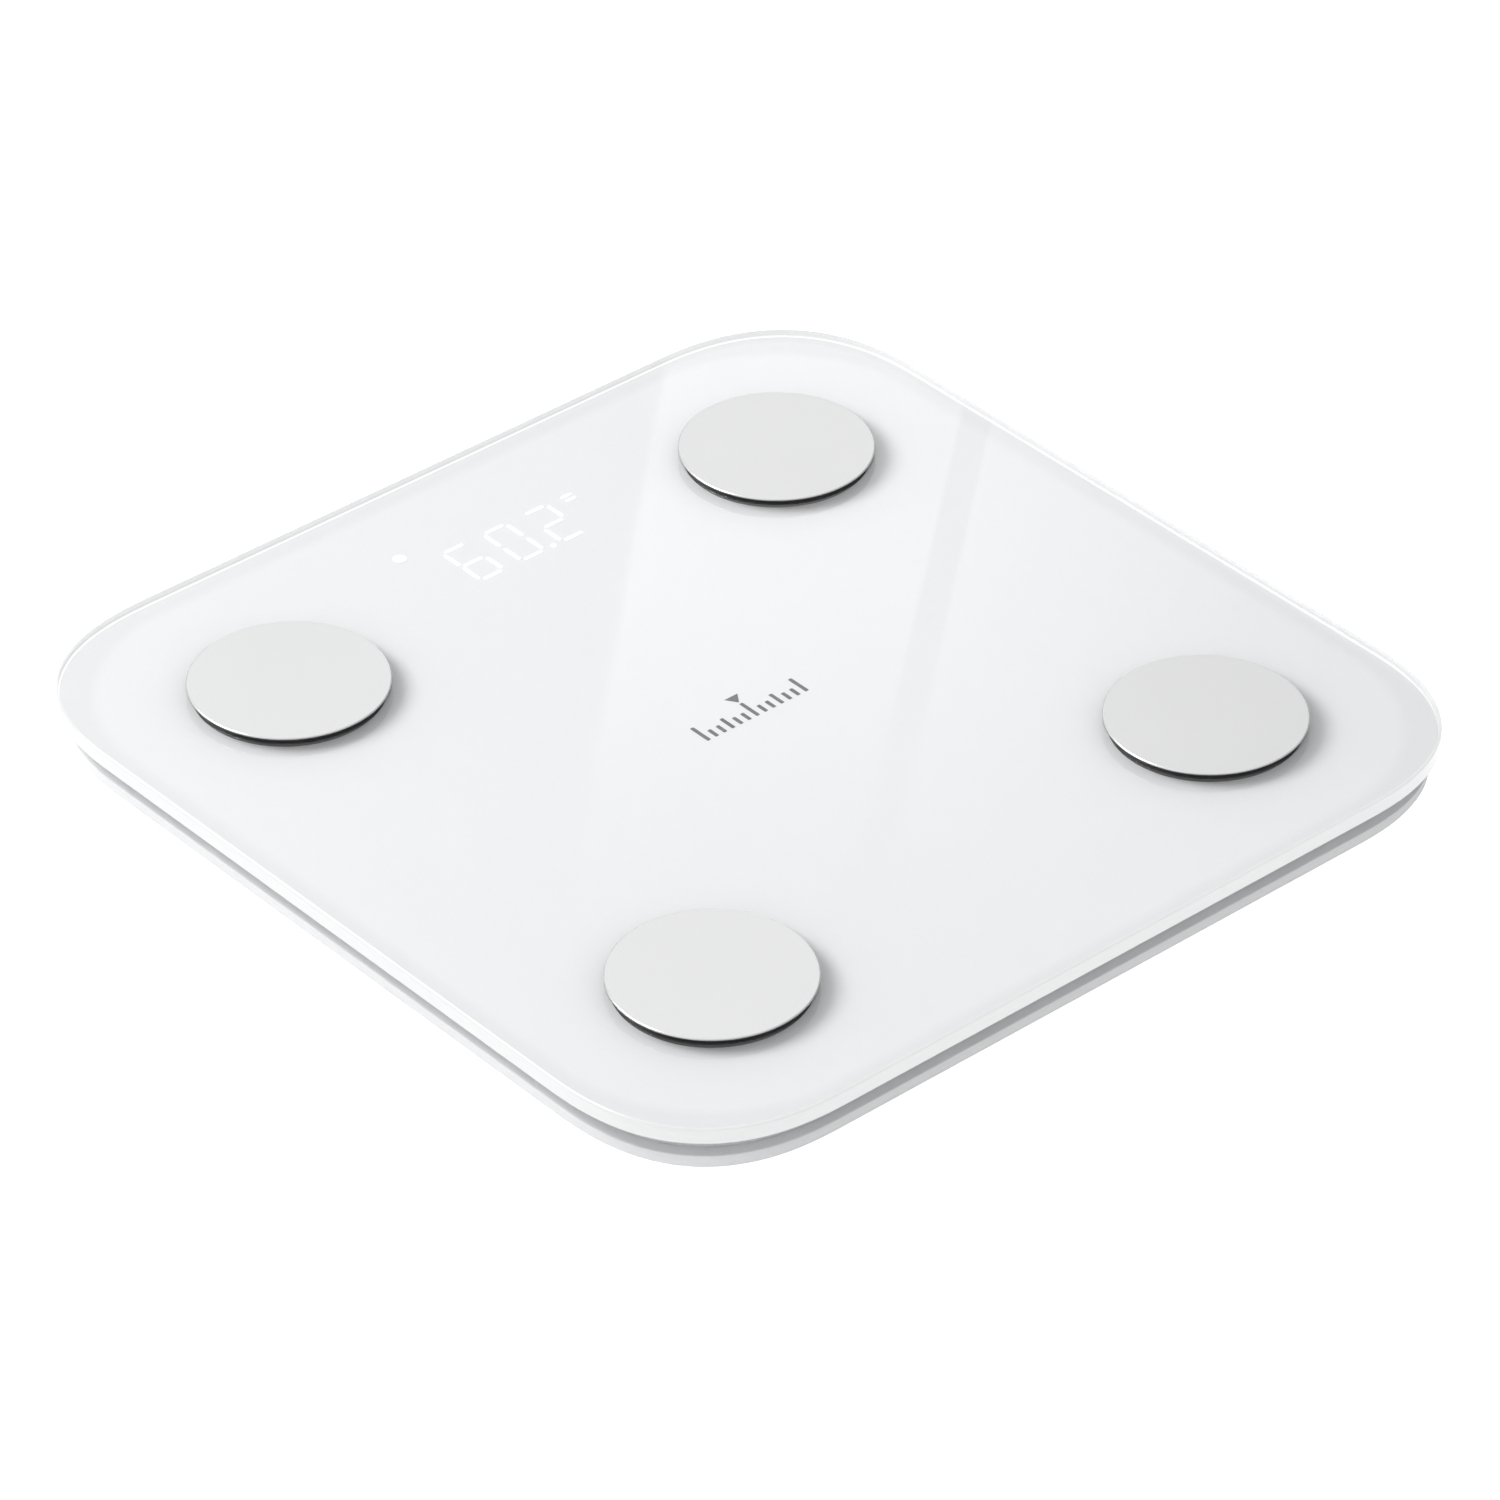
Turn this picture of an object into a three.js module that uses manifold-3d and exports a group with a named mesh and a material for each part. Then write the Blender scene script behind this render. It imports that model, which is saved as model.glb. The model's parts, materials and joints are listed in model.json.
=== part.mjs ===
// A digital bathroom scale: a glass platform on a moulded base, four sprung feet over load
// cells, four steel electrodes, a hidden LED display and a battery bay with its cover.
// Millimetres, +Z up. The origin is on the floor under the middle of the platform.
// +Y is the toe end, where the display is, and +X is the reader's right.
import * as THREE from 'three';
import { mergeVertices } from 'three/addons/utils/BufferGeometryUtils.js';
import Module from 'manifold-3d';

const wasm = await Module();
wasm.setup();

// ---- Driving dimensions ----------------------------------------------------------------

// Clearances.
const REST_GAP = 0.3; // between pieces that rest on or are glued to each other
const RUN_GAP = 0.4; // round or beside a piece that moves
const EDGE = 0.5; // small chamfer on moulded and turned pieces
const CUT = 1; // how far a cutting shape runs past what it cuts

// Platform: glass, its white print and the tape that bonds it to the base.
const PLATFORM_WIDTH = 300;
const PLATFORM_DEPTH = 300;
const PLATFORM_TOP = 23; // height of the glass's upper face above the floor
const CORNER_RADIUS = 56.4;
const CORNER_POWER = 2.5; // 2 is a circular corner, more is squarer
const GLASS_THICK = 5;
const GLASS_CHAMFER = 0.7;
const PRINT_THICK = 0.2;
const PRINT_MARGIN = 0.9; // clear glass round the white print
const TAPE_THICK = 0.5;
const TAPE_WIDTH = 6;
const TAPE_MARGIN = 0.8; // base neck left clear outside the tape

// Electrodes: steel discs with a stud through the glass.
const ELECTRODE_RADIUS = 28.75;
const ELECTRODE_BEVEL = 0.4;
const ELECTRODE_HEIGHT = 0.8;
const ELECTRODE_X = 90.2;
const ELECTRODE_Y = 90.2;
const STUD_RADIUS = 2;
const STUD_TAIL = 0.6; // stud below its nut
const BUSH_WALL = 1.2;
const NUT_ACROSS_FLATS = 7.6;
const NUT_THICK = 2.2;

// Base shell.
const BASE_INSET = 2.6; // glass overhang all round
const BASE_HEIGHT = 10.1;
const BASE_WALL = 2;
const BASE_FLOOR = 2;
const BASE_EDGE_RADIUS = 4;
const NECK_DEPTH = 3.4; // the base's upper band steps in, which leaves a shadow gap
const NECK_HEIGHT = 4.3;
const RIM_WIDTH = 9;
const RIM_THICK = 1.6;
const NECK_INSET = BASE_INSET + NECK_DEPTH;
const SHELF_THICK = 1.4;

// Feet and load cells.
const FOOT_X = 112;
const FOOT_Y = 112;
const FOOT_RADIUS = 19;
const FOOT_FLANGE = 1.6;
const FOOT_FLANGE_THICK = 1.1;
const FOOT_FLOOR = 2;
const FOOT_WALL = 2;
const FOOT_TRAVEL = 0.4;
const FOOT_PIN_RADIUS = 3;
const PAD_RADIUS = 16;
const PAD_THICK = 2.2;
const PAD_SHOW = 1.2; // rubber below the foot's edge
const POCKET_WALL = 2;
const POCKET_ROOF = 2;
const LOAD_CELL_SIZE = 29;
const LOAD_CELL_CORNER = 4;
const LOAD_CELL_THICK = 2.6;
const LOAD_CELL_FRAME = 5;
const LOAD_CELL_SLOT = 2;
const SEAT_HEIGHT = 0.8;
const SEAT_WIDTH = 4;

// Batteries, three side by side, and their contacts.
const CELL_COUNT = 3;
const CELL_RADIUS = 5.25;
const CELL_LENGTH = 44.5;
const CELL_NUB_RADIUS = 1.9;
const CELL_NUB_LENGTH = 1;
const CELL_SPACE = 0.6; // between cells and beside the outer ones
const SPRING_LENGTH = 4.2;
const SPRING_WIRE_RADIUS = 0.35;
const SPRING_TURNS = 2.5;
const SPRING_BASE_RADIUS = 3.6;
const SPRING_TIP_RADIUS = 2;
const CONTACT_THICK = 0.5;
const CONTACT_HEIGHT = 6;
const CONTACT_TAIL = 3; // terminal outside the bay's wall
const BAY_WALL = 1.5;
const BAY_ROOF = 1;
const BAY_Y = 0;

// Battery cover, its hinge tabs and its latch.
const COVER_THICK = 1.8;
const COVER_LAP = 1.6; // cover past the bay at its sides and hinge end
const COVER_LATCH_LAP = 8; // cover past the bay at its latch end
const COVER_CORNER = 2;
const HUMP_RIM = 3.5; // base round the cover
const TAB_LENGTH = 2.2;
const TAB_WIDTH = 6;
const TAB_THICK = 0.9;
const TAB_OFFSET = 10;
const LATCH_WIDTH = 11;
const LATCH_LENGTH = 5.4;
const LATCH_LEG = 0.9;
const LATCH_HEIGHT = 3; // hook above the cover
const LATCH_NOSE = 0.8;
const LATCH_TRAVEL = 0.8; // rise of the hook when it is pressed
const SCOOP_WIDTH = 3.4;
const SCOOP_DEPTH = 1.4;

// Electronics.
const BOARD_THICK = 1.6;
const BOARD_WIDTH = 70;
const BOARD_DEPTH = 36;
const BOARD_Y = 60;
const CHIP_SIZE = 10;
const CHIP_THICK = 1.2;
const BUTTON_X = 22;
const BUTTON_Y = 54;
const BUTTON_RADIUS = 4.2;
const BUTTON_FLANGE = 1.4;
const BUTTON_FLANGE_THICK = 0.8;
const BUTTON_RECESS = 0.3; // button's face above the base's underside
const BUTTON_TRAVEL = 0.5;
const SWITCH_SIZE = 6;
const SWITCH_THICK = 2.6;
const PLUNGER_RADIUS = 1.6;
const PLUNGER_TRAVEL = 0.3;
const PLUNGER_DEPTH = 1; // plunger inside its switch
const SCREW_X = -28;
const SCREW_RADIUS = 1.2;
const SCREW_HEAD_RADIUS = 2.4;
const SCREW_HEAD_THICK = 1.1;
const SCREW_LENGTH = 5;
const BOSS_WALL = 1.4;
const POST_RADIUS = 2.5;
const POST_INSET = 3; // a post's middle from the end of the display

// Display: four digits with a decimal point, a unit mark and a round sign.
const DIGIT_COUNT = 4;
const DIGIT_PITCH = 15;
const DIGIT_WIDTH = 8.4; // between the centre lines of its side strokes
const DIGIT_HEIGHT = 17.6; // between the centre lines of its top and bottom strokes
const DIGIT_STROKE = 1.3;
const DIGIT_Y = 105.7;
const LAST_DIGIT_X = 18.7;
const POINT_RADIUS = 0.8;
const DISPLAY_MARGIN = 4;
const GUIDE_PLATE = 1;
const HOUSING_THICK = 2.7;
const UNIT_Y = 113.2;
const SIGN_Y = 120.6;

// Wires.
const WIRE_RADIUS = 0.7;
const WIRE_SIDES = 8;
const WIRE_SPACE = 1.2; // round a wire where it passes through a wall
const RIBBON_WIDTH = 12;
const RIBBON_THICK = 0.6;

// Facets.
const CORNER_STEPS = 10;
const ROUND_SIDES = 24;
const SMALL_SIDES = 12;

// ---- Heights that follow from them -----------------------------------------------------

const glassBottom = PLATFORM_TOP - GLASS_THICK;
const printTop = glassBottom - REST_GAP;
const printBottom = printTop - PRINT_THICK;
const tapeTop = printBottom - REST_GAP;
const nutTop = printBottom - REST_GAP;
const baseTop = tapeTop - TAPE_THICK - REST_GAP;
const baseBottom = baseTop - BASE_HEIGHT;
const neckBottom = baseTop - NECK_HEIGHT;
const floorTop = baseBottom + BASE_FLOOR;
const pocketCeiling = baseTop - POCKET_ROOF;
const loadCellTop = pocketCeiling - SEAT_HEIGHT - REST_GAP;
const loadCellBottom = loadCellTop - LOAD_CELL_THICK;
const footTop = loadCellBottom - FOOT_TRAVEL - REST_GAP;
const bayCeiling = printBottom - REST_GAP - BAY_ROOF;
const cellAxisZ = bayCeiling - REST_GAP - CELL_RADIUS;
const contactTop = floorTop + REST_GAP + CONTACT_HEIGHT;
const coverTop = cellAxisZ - CELL_RADIUS - REST_GAP;
const coverBottom = coverTop - COVER_THICK;
const ledgeZ = coverTop + REST_GAP;
const buttonFlangeBottom = floorTop + REST_GAP;
const buttonTop = buttonFlangeBottom + BUTTON_FLANGE_THICK;
const switchBottom = buttonTop + BUTTON_TRAVEL + RUN_GAP;
const switchTop = switchBottom + SWITCH_THICK;
const boardBottom = switchTop + REST_GAP;
const boardTop = boardBottom + BOARD_THICK;

// Plan sizes that follow from them.
const pocketRadius = FOOT_RADIUS + FOOT_FLANGE + RUN_GAP;
const bayLength = CELL_LENGTH + SPRING_LENGTH + 2 * CONTACT_THICK + 5 * REST_GAP;
const bayWidth = CELL_COUNT * 2 * CELL_RADIUS + (CELL_COUNT + 1) * CELL_SPACE;
const bayLeft = -bayLength / 2;
const bayRight = bayLength / 2;
const coverLeft = bayLeft - COVER_LAP;
const coverRight = bayRight + COVER_LATCH_LAP;
const coverHalfWidth = bayWidth / 2 + COVER_LAP;
const cellPitch = 2 * CELL_RADIUS + CELL_SPACE;
const CORNERS = [
  ['toe_left', -1, 1], ['toe_right', 1, 1], ['heel_left', -1, -1], ['heel_right', 1, -1],
];

// ---- Solids ----------------------------------------------------------------------------

// A closed geometry as a solid that can be joined and cut.
function toSolid(geometry) {
  const bare = geometry.clone();
  bare.deleteAttribute('normal');
  bare.deleteAttribute('uv');
  const merged = mergeVertices(bare);
  const corners = merged.index.array;
  const triangles = [];
  for (let i = 0; i < corners.length; i += 3) {
    const [a, b, c] = [corners[i], corners[i + 1], corners[i + 2]];
    if (a !== b && b !== c && c !== a) triangles.push(a, b, c);
  }
  return new wasm.Manifold(new wasm.Mesh({
    numProp: 3,
    vertProperties: new Float32Array(merged.attributes.position.array),
    triVerts: new Uint32Array(triangles),
  }));
}

function toGeometry(solid) {
  const mesh = solid.getMesh();
  const geometry = new THREE.BufferGeometry();
  geometry.setAttribute('position', new THREE.BufferAttribute(mesh.vertProperties, 3));
  geometry.setIndex(new THREE.BufferAttribute(mesh.triVerts, 1));
  return geometry;
}

// The first geometry, joined to those in `added` and then cut by those in `removed`.
function combine(first, added, removed) {
  let solid = toSolid(first);
  for (const piece of added) solid = solid.add(toSolid(piece));
  for (const piece of removed) solid = solid.subtract(toSolid(piece));
  return toGeometry(solid);
}

// ---- Basic shapes ----------------------------------------------------------------------

function box(low, high) {
  const size = high.map((value, axis) => value - low[axis]);
  const middle = high.map((value, axis) => (value + low[axis]) / 2);
  return new THREE.BoxGeometry(...size).translate(...middle);
}

// A box of a given plan size about a point, between two heights.
function block(x, y, width, depth, bottom, top) {
  return box([x - width / 2, y - depth / 2, bottom], [x + width / 2, y + depth / 2, top]);
}

function disc(x, y, radius, bottom, top, sides = ROUND_SIDES) {
  const geometry = new THREE.CylinderGeometry(radius, radius, top - bottom, sides);
  return geometry.rotateX(Math.PI / 2).translate(x, y, (bottom + top) / 2);
}

// A profile of [radius, height] pairs turned about the Z axis.
function turned(profile, sides = ROUND_SIDES) {
  const points = profile.map(([radius, height]) => new THREE.Vector2(radius, height));
  return new THREE.LatheGeometry(points, sides).rotateX(Math.PI / 2);
}

// An outline with superelliptic corners: |x|^power + |y|^power = radius^power in each.
function roundedOutline(width, depth, radius, power = 2, steps = 6) {
  const points = [];
  for (let corner = 0; corner < 4; corner += 1) {
    const signX = corner === 0 || corner === 3 ? 1 : -1;
    const signY = corner < 2 ? 1 : -1;
    for (let step = 0; step <= steps; step += 1) {
      const share = corner % 2 === 0 ? step / steps : 1 - step / steps;
      const angle = (share * Math.PI) / 2;
      const reachX = radius * Math.abs(Math.cos(angle)) ** (2 / power);
      const reachY = radius * Math.abs(Math.sin(angle)) ** (2 / power);
      const x = signX * (width / 2 - radius + reachX);
      const y = signY * (depth / 2 - radius + reachY);
      points.push(new THREE.Vector2(x, y));
    }
  }
  return new THREE.Shape(points);
}

// The platform's outline, moved inwards by `inset`.
function platformOutline(inset) {
  const width = PLATFORM_WIDTH - 2 * inset;
  const depth = PLATFORM_DEPTH - 2 * inset;
  return roundedOutline(width, depth, CORNER_RADIUS - inset, CORNER_POWER, CORNER_STEPS);
}

// An outline extruded between two heights, its edges rounded or chamfered by `bevel`.
function slab(outline, bottom, top, bevel = 0, bevelSegments = 1) {
  const geometry = new THREE.ExtrudeGeometry(outline, {
    depth: top - bottom - 2 * bevel,
    bevelEnabled: bevel > 0,
    bevelThickness: bevel,
    bevelSize: bevel,
    bevelOffset: -bevel,
    bevelSegments,
    curveSegments: 8,
    steps: 1,
  });
  return geometry.translate(0, 0, bottom + bevel);
}

// A round wire along a smooth curve through points, with flat ends.
function wire(points, radius = WIRE_RADIUS, steps = 18) {
  const section = new THREE.Shape();
  section.absarc(0, 0, radius, 0, 2 * Math.PI);
  const path = new THREE.CatmullRomCurve3(points.map((point) => new THREE.Vector3(...point)));
  return new THREE.ExtrudeGeometry(section, {
    steps, bevelEnabled: false, extrudePath: path, curveSegments: WIRE_SIDES / 2,
  });
}

// ---- The group -------------------------------------------------------------------------

const scale = new THREE.Group();

function addPart(name, geometry, material) {
  const mesh = new THREE.Mesh(geometry, material);
  mesh.name = name;
  scale.add(mesh);
  return mesh;
}

function finish(color, roughness, metalness = 0) {
  return new THREE.MeshStandardMaterial({ color, roughness, metalness, flatShading: true });
}

const FINISH = {
  glass: finish(0xe8f2ee, 0.05),
  print: finish(0xf2f2f4, 0.5),
  tape: finish(0x2b2b2d, 0.8),
  electrode: finish(0xd6d7da, 0.25, 1),
  bush: finish(0x202022, 0.6),
  steel: finish(0xb9bbbe, 0.35, 1),
  brass: finish(0xc9a860, 0.35, 1),
  base: finish(0xf0f0f1, 0.45),
  foot: finish(0xe4e4e6, 0.5),
  rubber: finish(0x8d8f92, 0.85),
  cell: finish(0x3c4046, 0.4, 0.3),
  board: finish(0x1f6b3f, 0.55),
  black: finish(0x18181a, 0.5),
  guide: finish(0xffffff, 0.3),
  button: finish(0xd9dadc, 0.6),
  wire: finish(0x9a9ea3, 0.6),
};

// ---- Platform --------------------------------------------------------------------------

const bushOuter = STUD_RADIUS + REST_GAP + BUSH_WALL;

function studHole(signX, signY, bottom, top) {
  const radius = bushOuter + REST_GAP;
  return disc(signX * ELECTRODE_X, signY * ELECTRODE_Y, radius, bottom, top, SMALL_SIDES);
}

function glassPlate() {
  const plate = slab(platformOutline(0), glassBottom, PLATFORM_TOP, GLASS_CHAMFER);
  const holes = CORNERS.map(([, x, y]) => studHole(x, y, glassBottom - CUT, PLATFORM_TOP + CUT));
  return combine(plate, [], holes);
}

function backPrint() {
  const film = slab(platformOutline(PRINT_MARGIN), printBottom, printTop);
  const holes = CORNERS.map(([, x, y]) => studHole(x, y, printBottom - CUT, printTop + CUT));
  return combine(film, [], holes);
}

function bondingTape() {
  const outer = platformOutline(NECK_INSET + TAPE_MARGIN);
  outer.holes.push(platformOutline(NECK_INSET + TAPE_MARGIN + TAPE_WIDTH));
  return slab(outer, tapeTop - TAPE_THICK, tapeTop);
}

// The disc's underside stops a gap above the glass, and its stud ends below the nut.
function electrodeDisc() {
  const bottom = PLATFORM_TOP + REST_GAP;
  const top = bottom + ELECTRODE_HEIGHT;
  const tail = nutTop - NUT_THICK - STUD_TAIL;
  return turned([
    [0, tail],
    [STUD_RADIUS, tail],
    [STUD_RADIUS, bottom],
    [ELECTRODE_RADIUS, bottom],
    [ELECTRODE_RADIUS, top - ELECTRODE_BEVEL],
    [ELECTRODE_RADIUS - ELECTRODE_BEVEL, top],
    [0, top],
  ], 36);
}

function electrodeBush() {
  const inner = STUD_RADIUS + REST_GAP;
  const bottom = glassBottom;
  const top = PLATFORM_TOP;
  return turned([
    [inner, bottom], [bushOuter, bottom], [bushOuter, top], [inner, top], [inner, bottom],
  ], SMALL_SIDES);
}

function electrodeNut() {
  const hex = new THREE.Shape();
  const reach = NUT_ACROSS_FLATS / Math.sqrt(3);
  for (let side = 0; side < 6; side += 1) {
    const angle = ((side + 0.5) * Math.PI) / 3;
    const corner = [reach * Math.cos(angle), reach * Math.sin(angle)];
    if (side === 0) hex.moveTo(...corner);
    else hex.lineTo(...corner);
  }
  const bore = new THREE.Path();
  bore.absarc(0, 0, STUD_RADIUS + REST_GAP, 0, 2 * Math.PI, true);
  hex.holes.push(bore);
  return slab(hex, nutTop - NUT_THICK, nutTop);
}

addPart('glass_plate', glassPlate(), FINISH.glass);
addPart('back_print', backPrint(), FINISH.print);
addPart('bonding_tape', bondingTape(), FINISH.tape);
for (const [corner, signX, signY] of CORNERS) {
  const spot = [signX * ELECTRODE_X, signY * ELECTRODE_Y, 0];
  addPart(`electrode_${corner}`, electrodeDisc(), FINISH.electrode).position.set(...spot);
  addPart(`electrode_bush_${corner}`, electrodeBush(), FINISH.bush).position.set(...spot);
  addPart(`electrode_nut_${corner}`, electrodeNut(), FINISH.brass).position.set(...spot);
}

// ---- Base shell ------------------------------------------------------------------------

const wireNotchZ = (loadCellTop + loadCellBottom) / 2;

// The tray without its fittings: a rounded lower edge, a neck that steps in under the glass,
// a flat floor and a rim for the tape.
function tray() {
  const above = BASE_EDGE_RADIUS + CUT;
  const outside = slab(
    platformOutline(BASE_INSET), baseBottom, neckBottom + above, BASE_EDGE_RADIUS, 3,
  );
  const trim = block(
    0, 0, 2 * PLATFORM_WIDTH, 2 * PLATFORM_DEPTH, neckBottom, neckBottom + 2 * above,
  );
  const neck = slab(platformOutline(NECK_INSET), floorTop, baseTop);
  const lipRoom = slab(
    platformOutline(BASE_INSET + BASE_WALL), floorTop, neckBottom - SHELF_THICK, SHELF_THICK / 2, 1,
  );
  const room = slab(
    platformOutline(NECK_INSET + BASE_WALL), floorTop, baseTop - RIM_THICK, BASE_FLOOR, 1,
  );
  const mouth = slab(
    platformOutline(NECK_INSET + RIM_WIDTH), floorTop + BASE_FLOOR, baseTop + CUT,
  );
  return combine(combine(outside, [], [trim]), [neck], [lipRoom, room, mouth]);
}

// What a corner adds: the pocket that holds a load cell over its foot, and its two seats.
function pocketWalls(signX, signY) {
  const x = signX * FOOT_X;
  const y = signY * FOOT_Y;
  return disc(x, y, pocketRadius + POCKET_WALL, baseBottom + BASE_FLOOR / 2, baseTop);
}

function pocketRoom(signX, signY) {
  const x = signX * FOOT_X;
  const y = signY * FOOT_Y;
  const low = loadCellTop + REST_GAP;
  const seats = [-1, 1].map((side) => {
    const seatY = y + (side * (LOAD_CELL_SIZE - SEAT_WIDTH)) / 2;
    return block(x, seatY, LOAD_CELL_SIZE * 0.6, SEAT_WIDTH, low, pocketCeiling + CUT);
  });
  return combine(disc(x, y, pocketRadius, floorTop, pocketCeiling), [], seats);
}

// Room round an electrode's nut, where a wide pocket's roof would reach it.
function nutRoom(signX, signY) {
  const radius = NUT_ACROSS_FLATS / Math.sqrt(3) + REST_GAP;
  const bottom = nutTop - NUT_THICK - STUD_TAIL - REST_GAP;
  const x = signX * ELECTRODE_X;
  return disc(x, signY * ELECTRODE_Y, radius, bottom, baseTop + CUT, SMALL_SIDES);
}

function footOpening(signX, signY) {
  const radius = FOOT_RADIUS + RUN_GAP;
  return disc(signX * FOOT_X, signY * FOOT_Y, radius, baseBottom - CUT, floorTop + CUT);
}

function wireNotch(signX, signY) {
  const inner = signX * (FOOT_X - pocketRadius + 4);
  const outer = signX * (FOOT_X - pocketRadius - POCKET_WALL - 2);
  const reach = WIRE_RADIUS + WIRE_SPACE;
  return box(
    [Math.min(inner, outer), signY * FOOT_Y - reach, wireNotchZ - reach],
    [Math.max(inner, outer), signY * FOOT_Y + reach, wireNotchZ + reach],
  );
}

// The battery bay, from the hump under the base up to the bay's roof.
function humpSolid() {
  const rim = REST_GAP + HUMP_RIM;
  const width = coverRight - coverLeft + 2 * rim;
  const depth = 2 * (coverHalfWidth + rim);
  const outline = roundedOutline(width, depth, COVER_CORNER + HUMP_RIM);
  const hump = slab(outline, coverBottom, floorTop);
  return hump.translate((coverLeft + coverRight) / 2, BAY_Y, 0);
}

function bayWalls() {
  const width = bayLength + 2 * BAY_WALL;
  const depth = bayWidth + 2 * BAY_WALL;
  return block(0, BAY_Y, width, depth, floorTop - CUT, bayCeiling + BAY_ROOF);
}

function bayRoom() {
  return block(0, BAY_Y, bayLength, bayWidth, coverBottom, bayCeiling);
}

function coverOpening() {
  const width = coverRight - coverLeft + 2 * REST_GAP;
  const depth = 2 * (coverHalfWidth + REST_GAP);
  const outline = roundedOutline(width, depth, COVER_CORNER + REST_GAP);
  const opening = slab(outline, coverBottom - CUT, ledgeZ);
  return opening.translate((coverLeft + coverRight) / 2, BAY_Y, 0);
}

// Room for a hinge tab to swing a quarter turn about the cover's lower edge.
function tabSlot(side) {
  const sweep = Math.hypot(TAB_LENGTH, COVER_THICK) + RUN_GAP;
  const y = BAY_Y + side * TAB_OFFSET;
  const reach = TAB_WIDTH / 2 + RUN_GAP;
  const lipTop = coverTop - TAB_THICK - REST_GAP;
  return box(
    [coverLeft - sweep, y - reach, lipTop],
    [coverLeft + sweep, y + reach, coverBottom + sweep],
  );
}

const latchTop = coverTop + LATCH_HEIGHT;
const latchRoomTop = latchTop + LATCH_TRAVEL + RUN_GAP;
const latchHalfRoom = LATCH_WIDTH / 2 + RUN_GAP;

function latchHousing() {
  const width = coverRight - bayRight + BAY_WALL + RUN_GAP;
  const x = bayRight + width / 2;
  const depth = 2 * (latchHalfRoom + BAY_WALL);
  return block(x, BAY_Y, width, depth, floorTop - CUT, latchRoomTop + BAY_WALL);
}

function latchRoom() {
  return box(
    [bayRight + BAY_WALL, BAY_Y - latchHalfRoom, coverBottom],
    [coverRight + REST_GAP, BAY_Y + latchHalfRoom, latchRoomTop],
  );
}

function fingerScoop() {
  return box(
    [coverRight - CUT, BAY_Y - LATCH_WIDTH / 2, coverBottom - CUT],
    [coverRight + SCOOP_WIDTH, BAY_Y + LATCH_WIDTH / 2, coverBottom + SCOOP_DEPTH],
  );
}

// A slit in the bay's side wall, for a battery terminal.
function terminalSlit(x, side) {
  const edge = BAY_Y + (side * bayWidth) / 2;
  return block(
    x, edge, CONTACT_THICK + 2 * REST_GAP, 4 * BAY_WALL,
    floorTop, contactTop + REST_GAP,
  );
}

// A post from the floor that carries a board, `x` and `y` being its middle.
function post(x, y, radius, top) {
  return disc(x, y, radius, floorTop - CUT, top - REST_GAP, SMALL_SIDES);
}

const bossBore = SCREW_RADIUS + REST_GAP;

function baseShell() {
  const added = [humpSolid(), bayWalls(), latchHousing()];
  const removed = [
    bayRoom(), coverOpening(), latchRoom(), fingerScoop(),
    terminalSlit(leftContactX, -1), terminalSlit(rightContactX, 1),
    disc(BUTTON_X, BUTTON_Y, BUTTON_RADIUS + RUN_GAP, baseBottom - CUT, floorTop + CUT, 24),
    disc(SCREW_X, BOARD_Y, bossBore, floorTop, boardBottom, 16),
  ];
  for (const [, signX, signY] of CORNERS) {
    added.push(pocketWalls(signX, signY));
    removed.push(pocketRoom(signX, signY));
    removed.push(footOpening(signX, signY));
    removed.push(wireNotch(signX, signY));
    removed.push(nutRoom(signX, signY));
  }
  for (const side of [-1, 1]) {
    removed.push(tabSlot(side));
    const x = displayX + side * (displayWidth / 2 - POST_INSET);
    added.push(post(x, displayY, POST_RADIUS, displayBoardBottom));
  }
  added.push(post(SCREW_X, BOARD_Y, bossBore + BOSS_WALL, boardBottom));
  added.push(post(-SCREW_X, BOARD_Y + BOARD_DEPTH / 4, POST_RADIUS, boardBottom));
  return combine(tray(), added, removed);
}

// ---- Feet and load cells ---------------------------------------------------------------

// A steel plate whose middle tongue is bent by the foot while its frame bears on the seats.
function loadCell() {
  const half = LOAD_CELL_SIZE / 2;
  const outline = roundedOutline(LOAD_CELL_SIZE, LOAD_CELL_SIZE, LOAD_CELL_CORNER, 2, 3);
  const outer = half - LOAD_CELL_FRAME;
  const inner = outer - LOAD_CELL_SLOT;
  const slot = new THREE.Path([
    [-outer, outer], [-outer, -outer], [outer, -outer], [outer, outer],
    [inner, outer], [inner, -inner], [-inner, -inner], [-inner, outer],
  ].map(([x, y]) => new THREE.Vector2(x, y)));
  outline.holes.push(slot);
  return slab(outline, loadCellBottom, loadCellTop);
}

// A cup that slides up its pocket, held in by its flange, with a pin under the load cell.
function footCup() {
  const edge = PAD_SHOW;
  const recess = PAD_RADIUS + REST_GAP;
  const recessTop = PAD_THICK + REST_GAP;
  const flangeBottom = floorTop + REST_GAP;
  const cupFloor = recessTop + FOOT_FLOOR;
  const flangeRadius = FOOT_RADIUS + FOOT_FLANGE;
  return turned([
    [0, recessTop],
    [recess, recessTop],
    [recess, edge],
    [FOOT_RADIUS - EDGE, edge],
    [FOOT_RADIUS, edge + EDGE],
    [FOOT_RADIUS, flangeBottom],
    [flangeRadius, flangeBottom],
    [flangeRadius, flangeBottom + FOOT_FLANGE_THICK],
    [FOOT_RADIUS - FOOT_WALL, flangeBottom + FOOT_FLANGE_THICK],
    [FOOT_RADIUS - FOOT_WALL, cupFloor],
    [FOOT_PIN_RADIUS + 1, cupFloor],
    [FOOT_PIN_RADIUS, footTop],
    [0, footTop],
  ]);
}

function footPad() {
  return turned([
    [0, 0], [PAD_RADIUS - EDGE, 0], [PAD_RADIUS, EDGE], [PAD_RADIUS, PAD_THICK], [0, PAD_THICK],
  ]);
}

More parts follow.
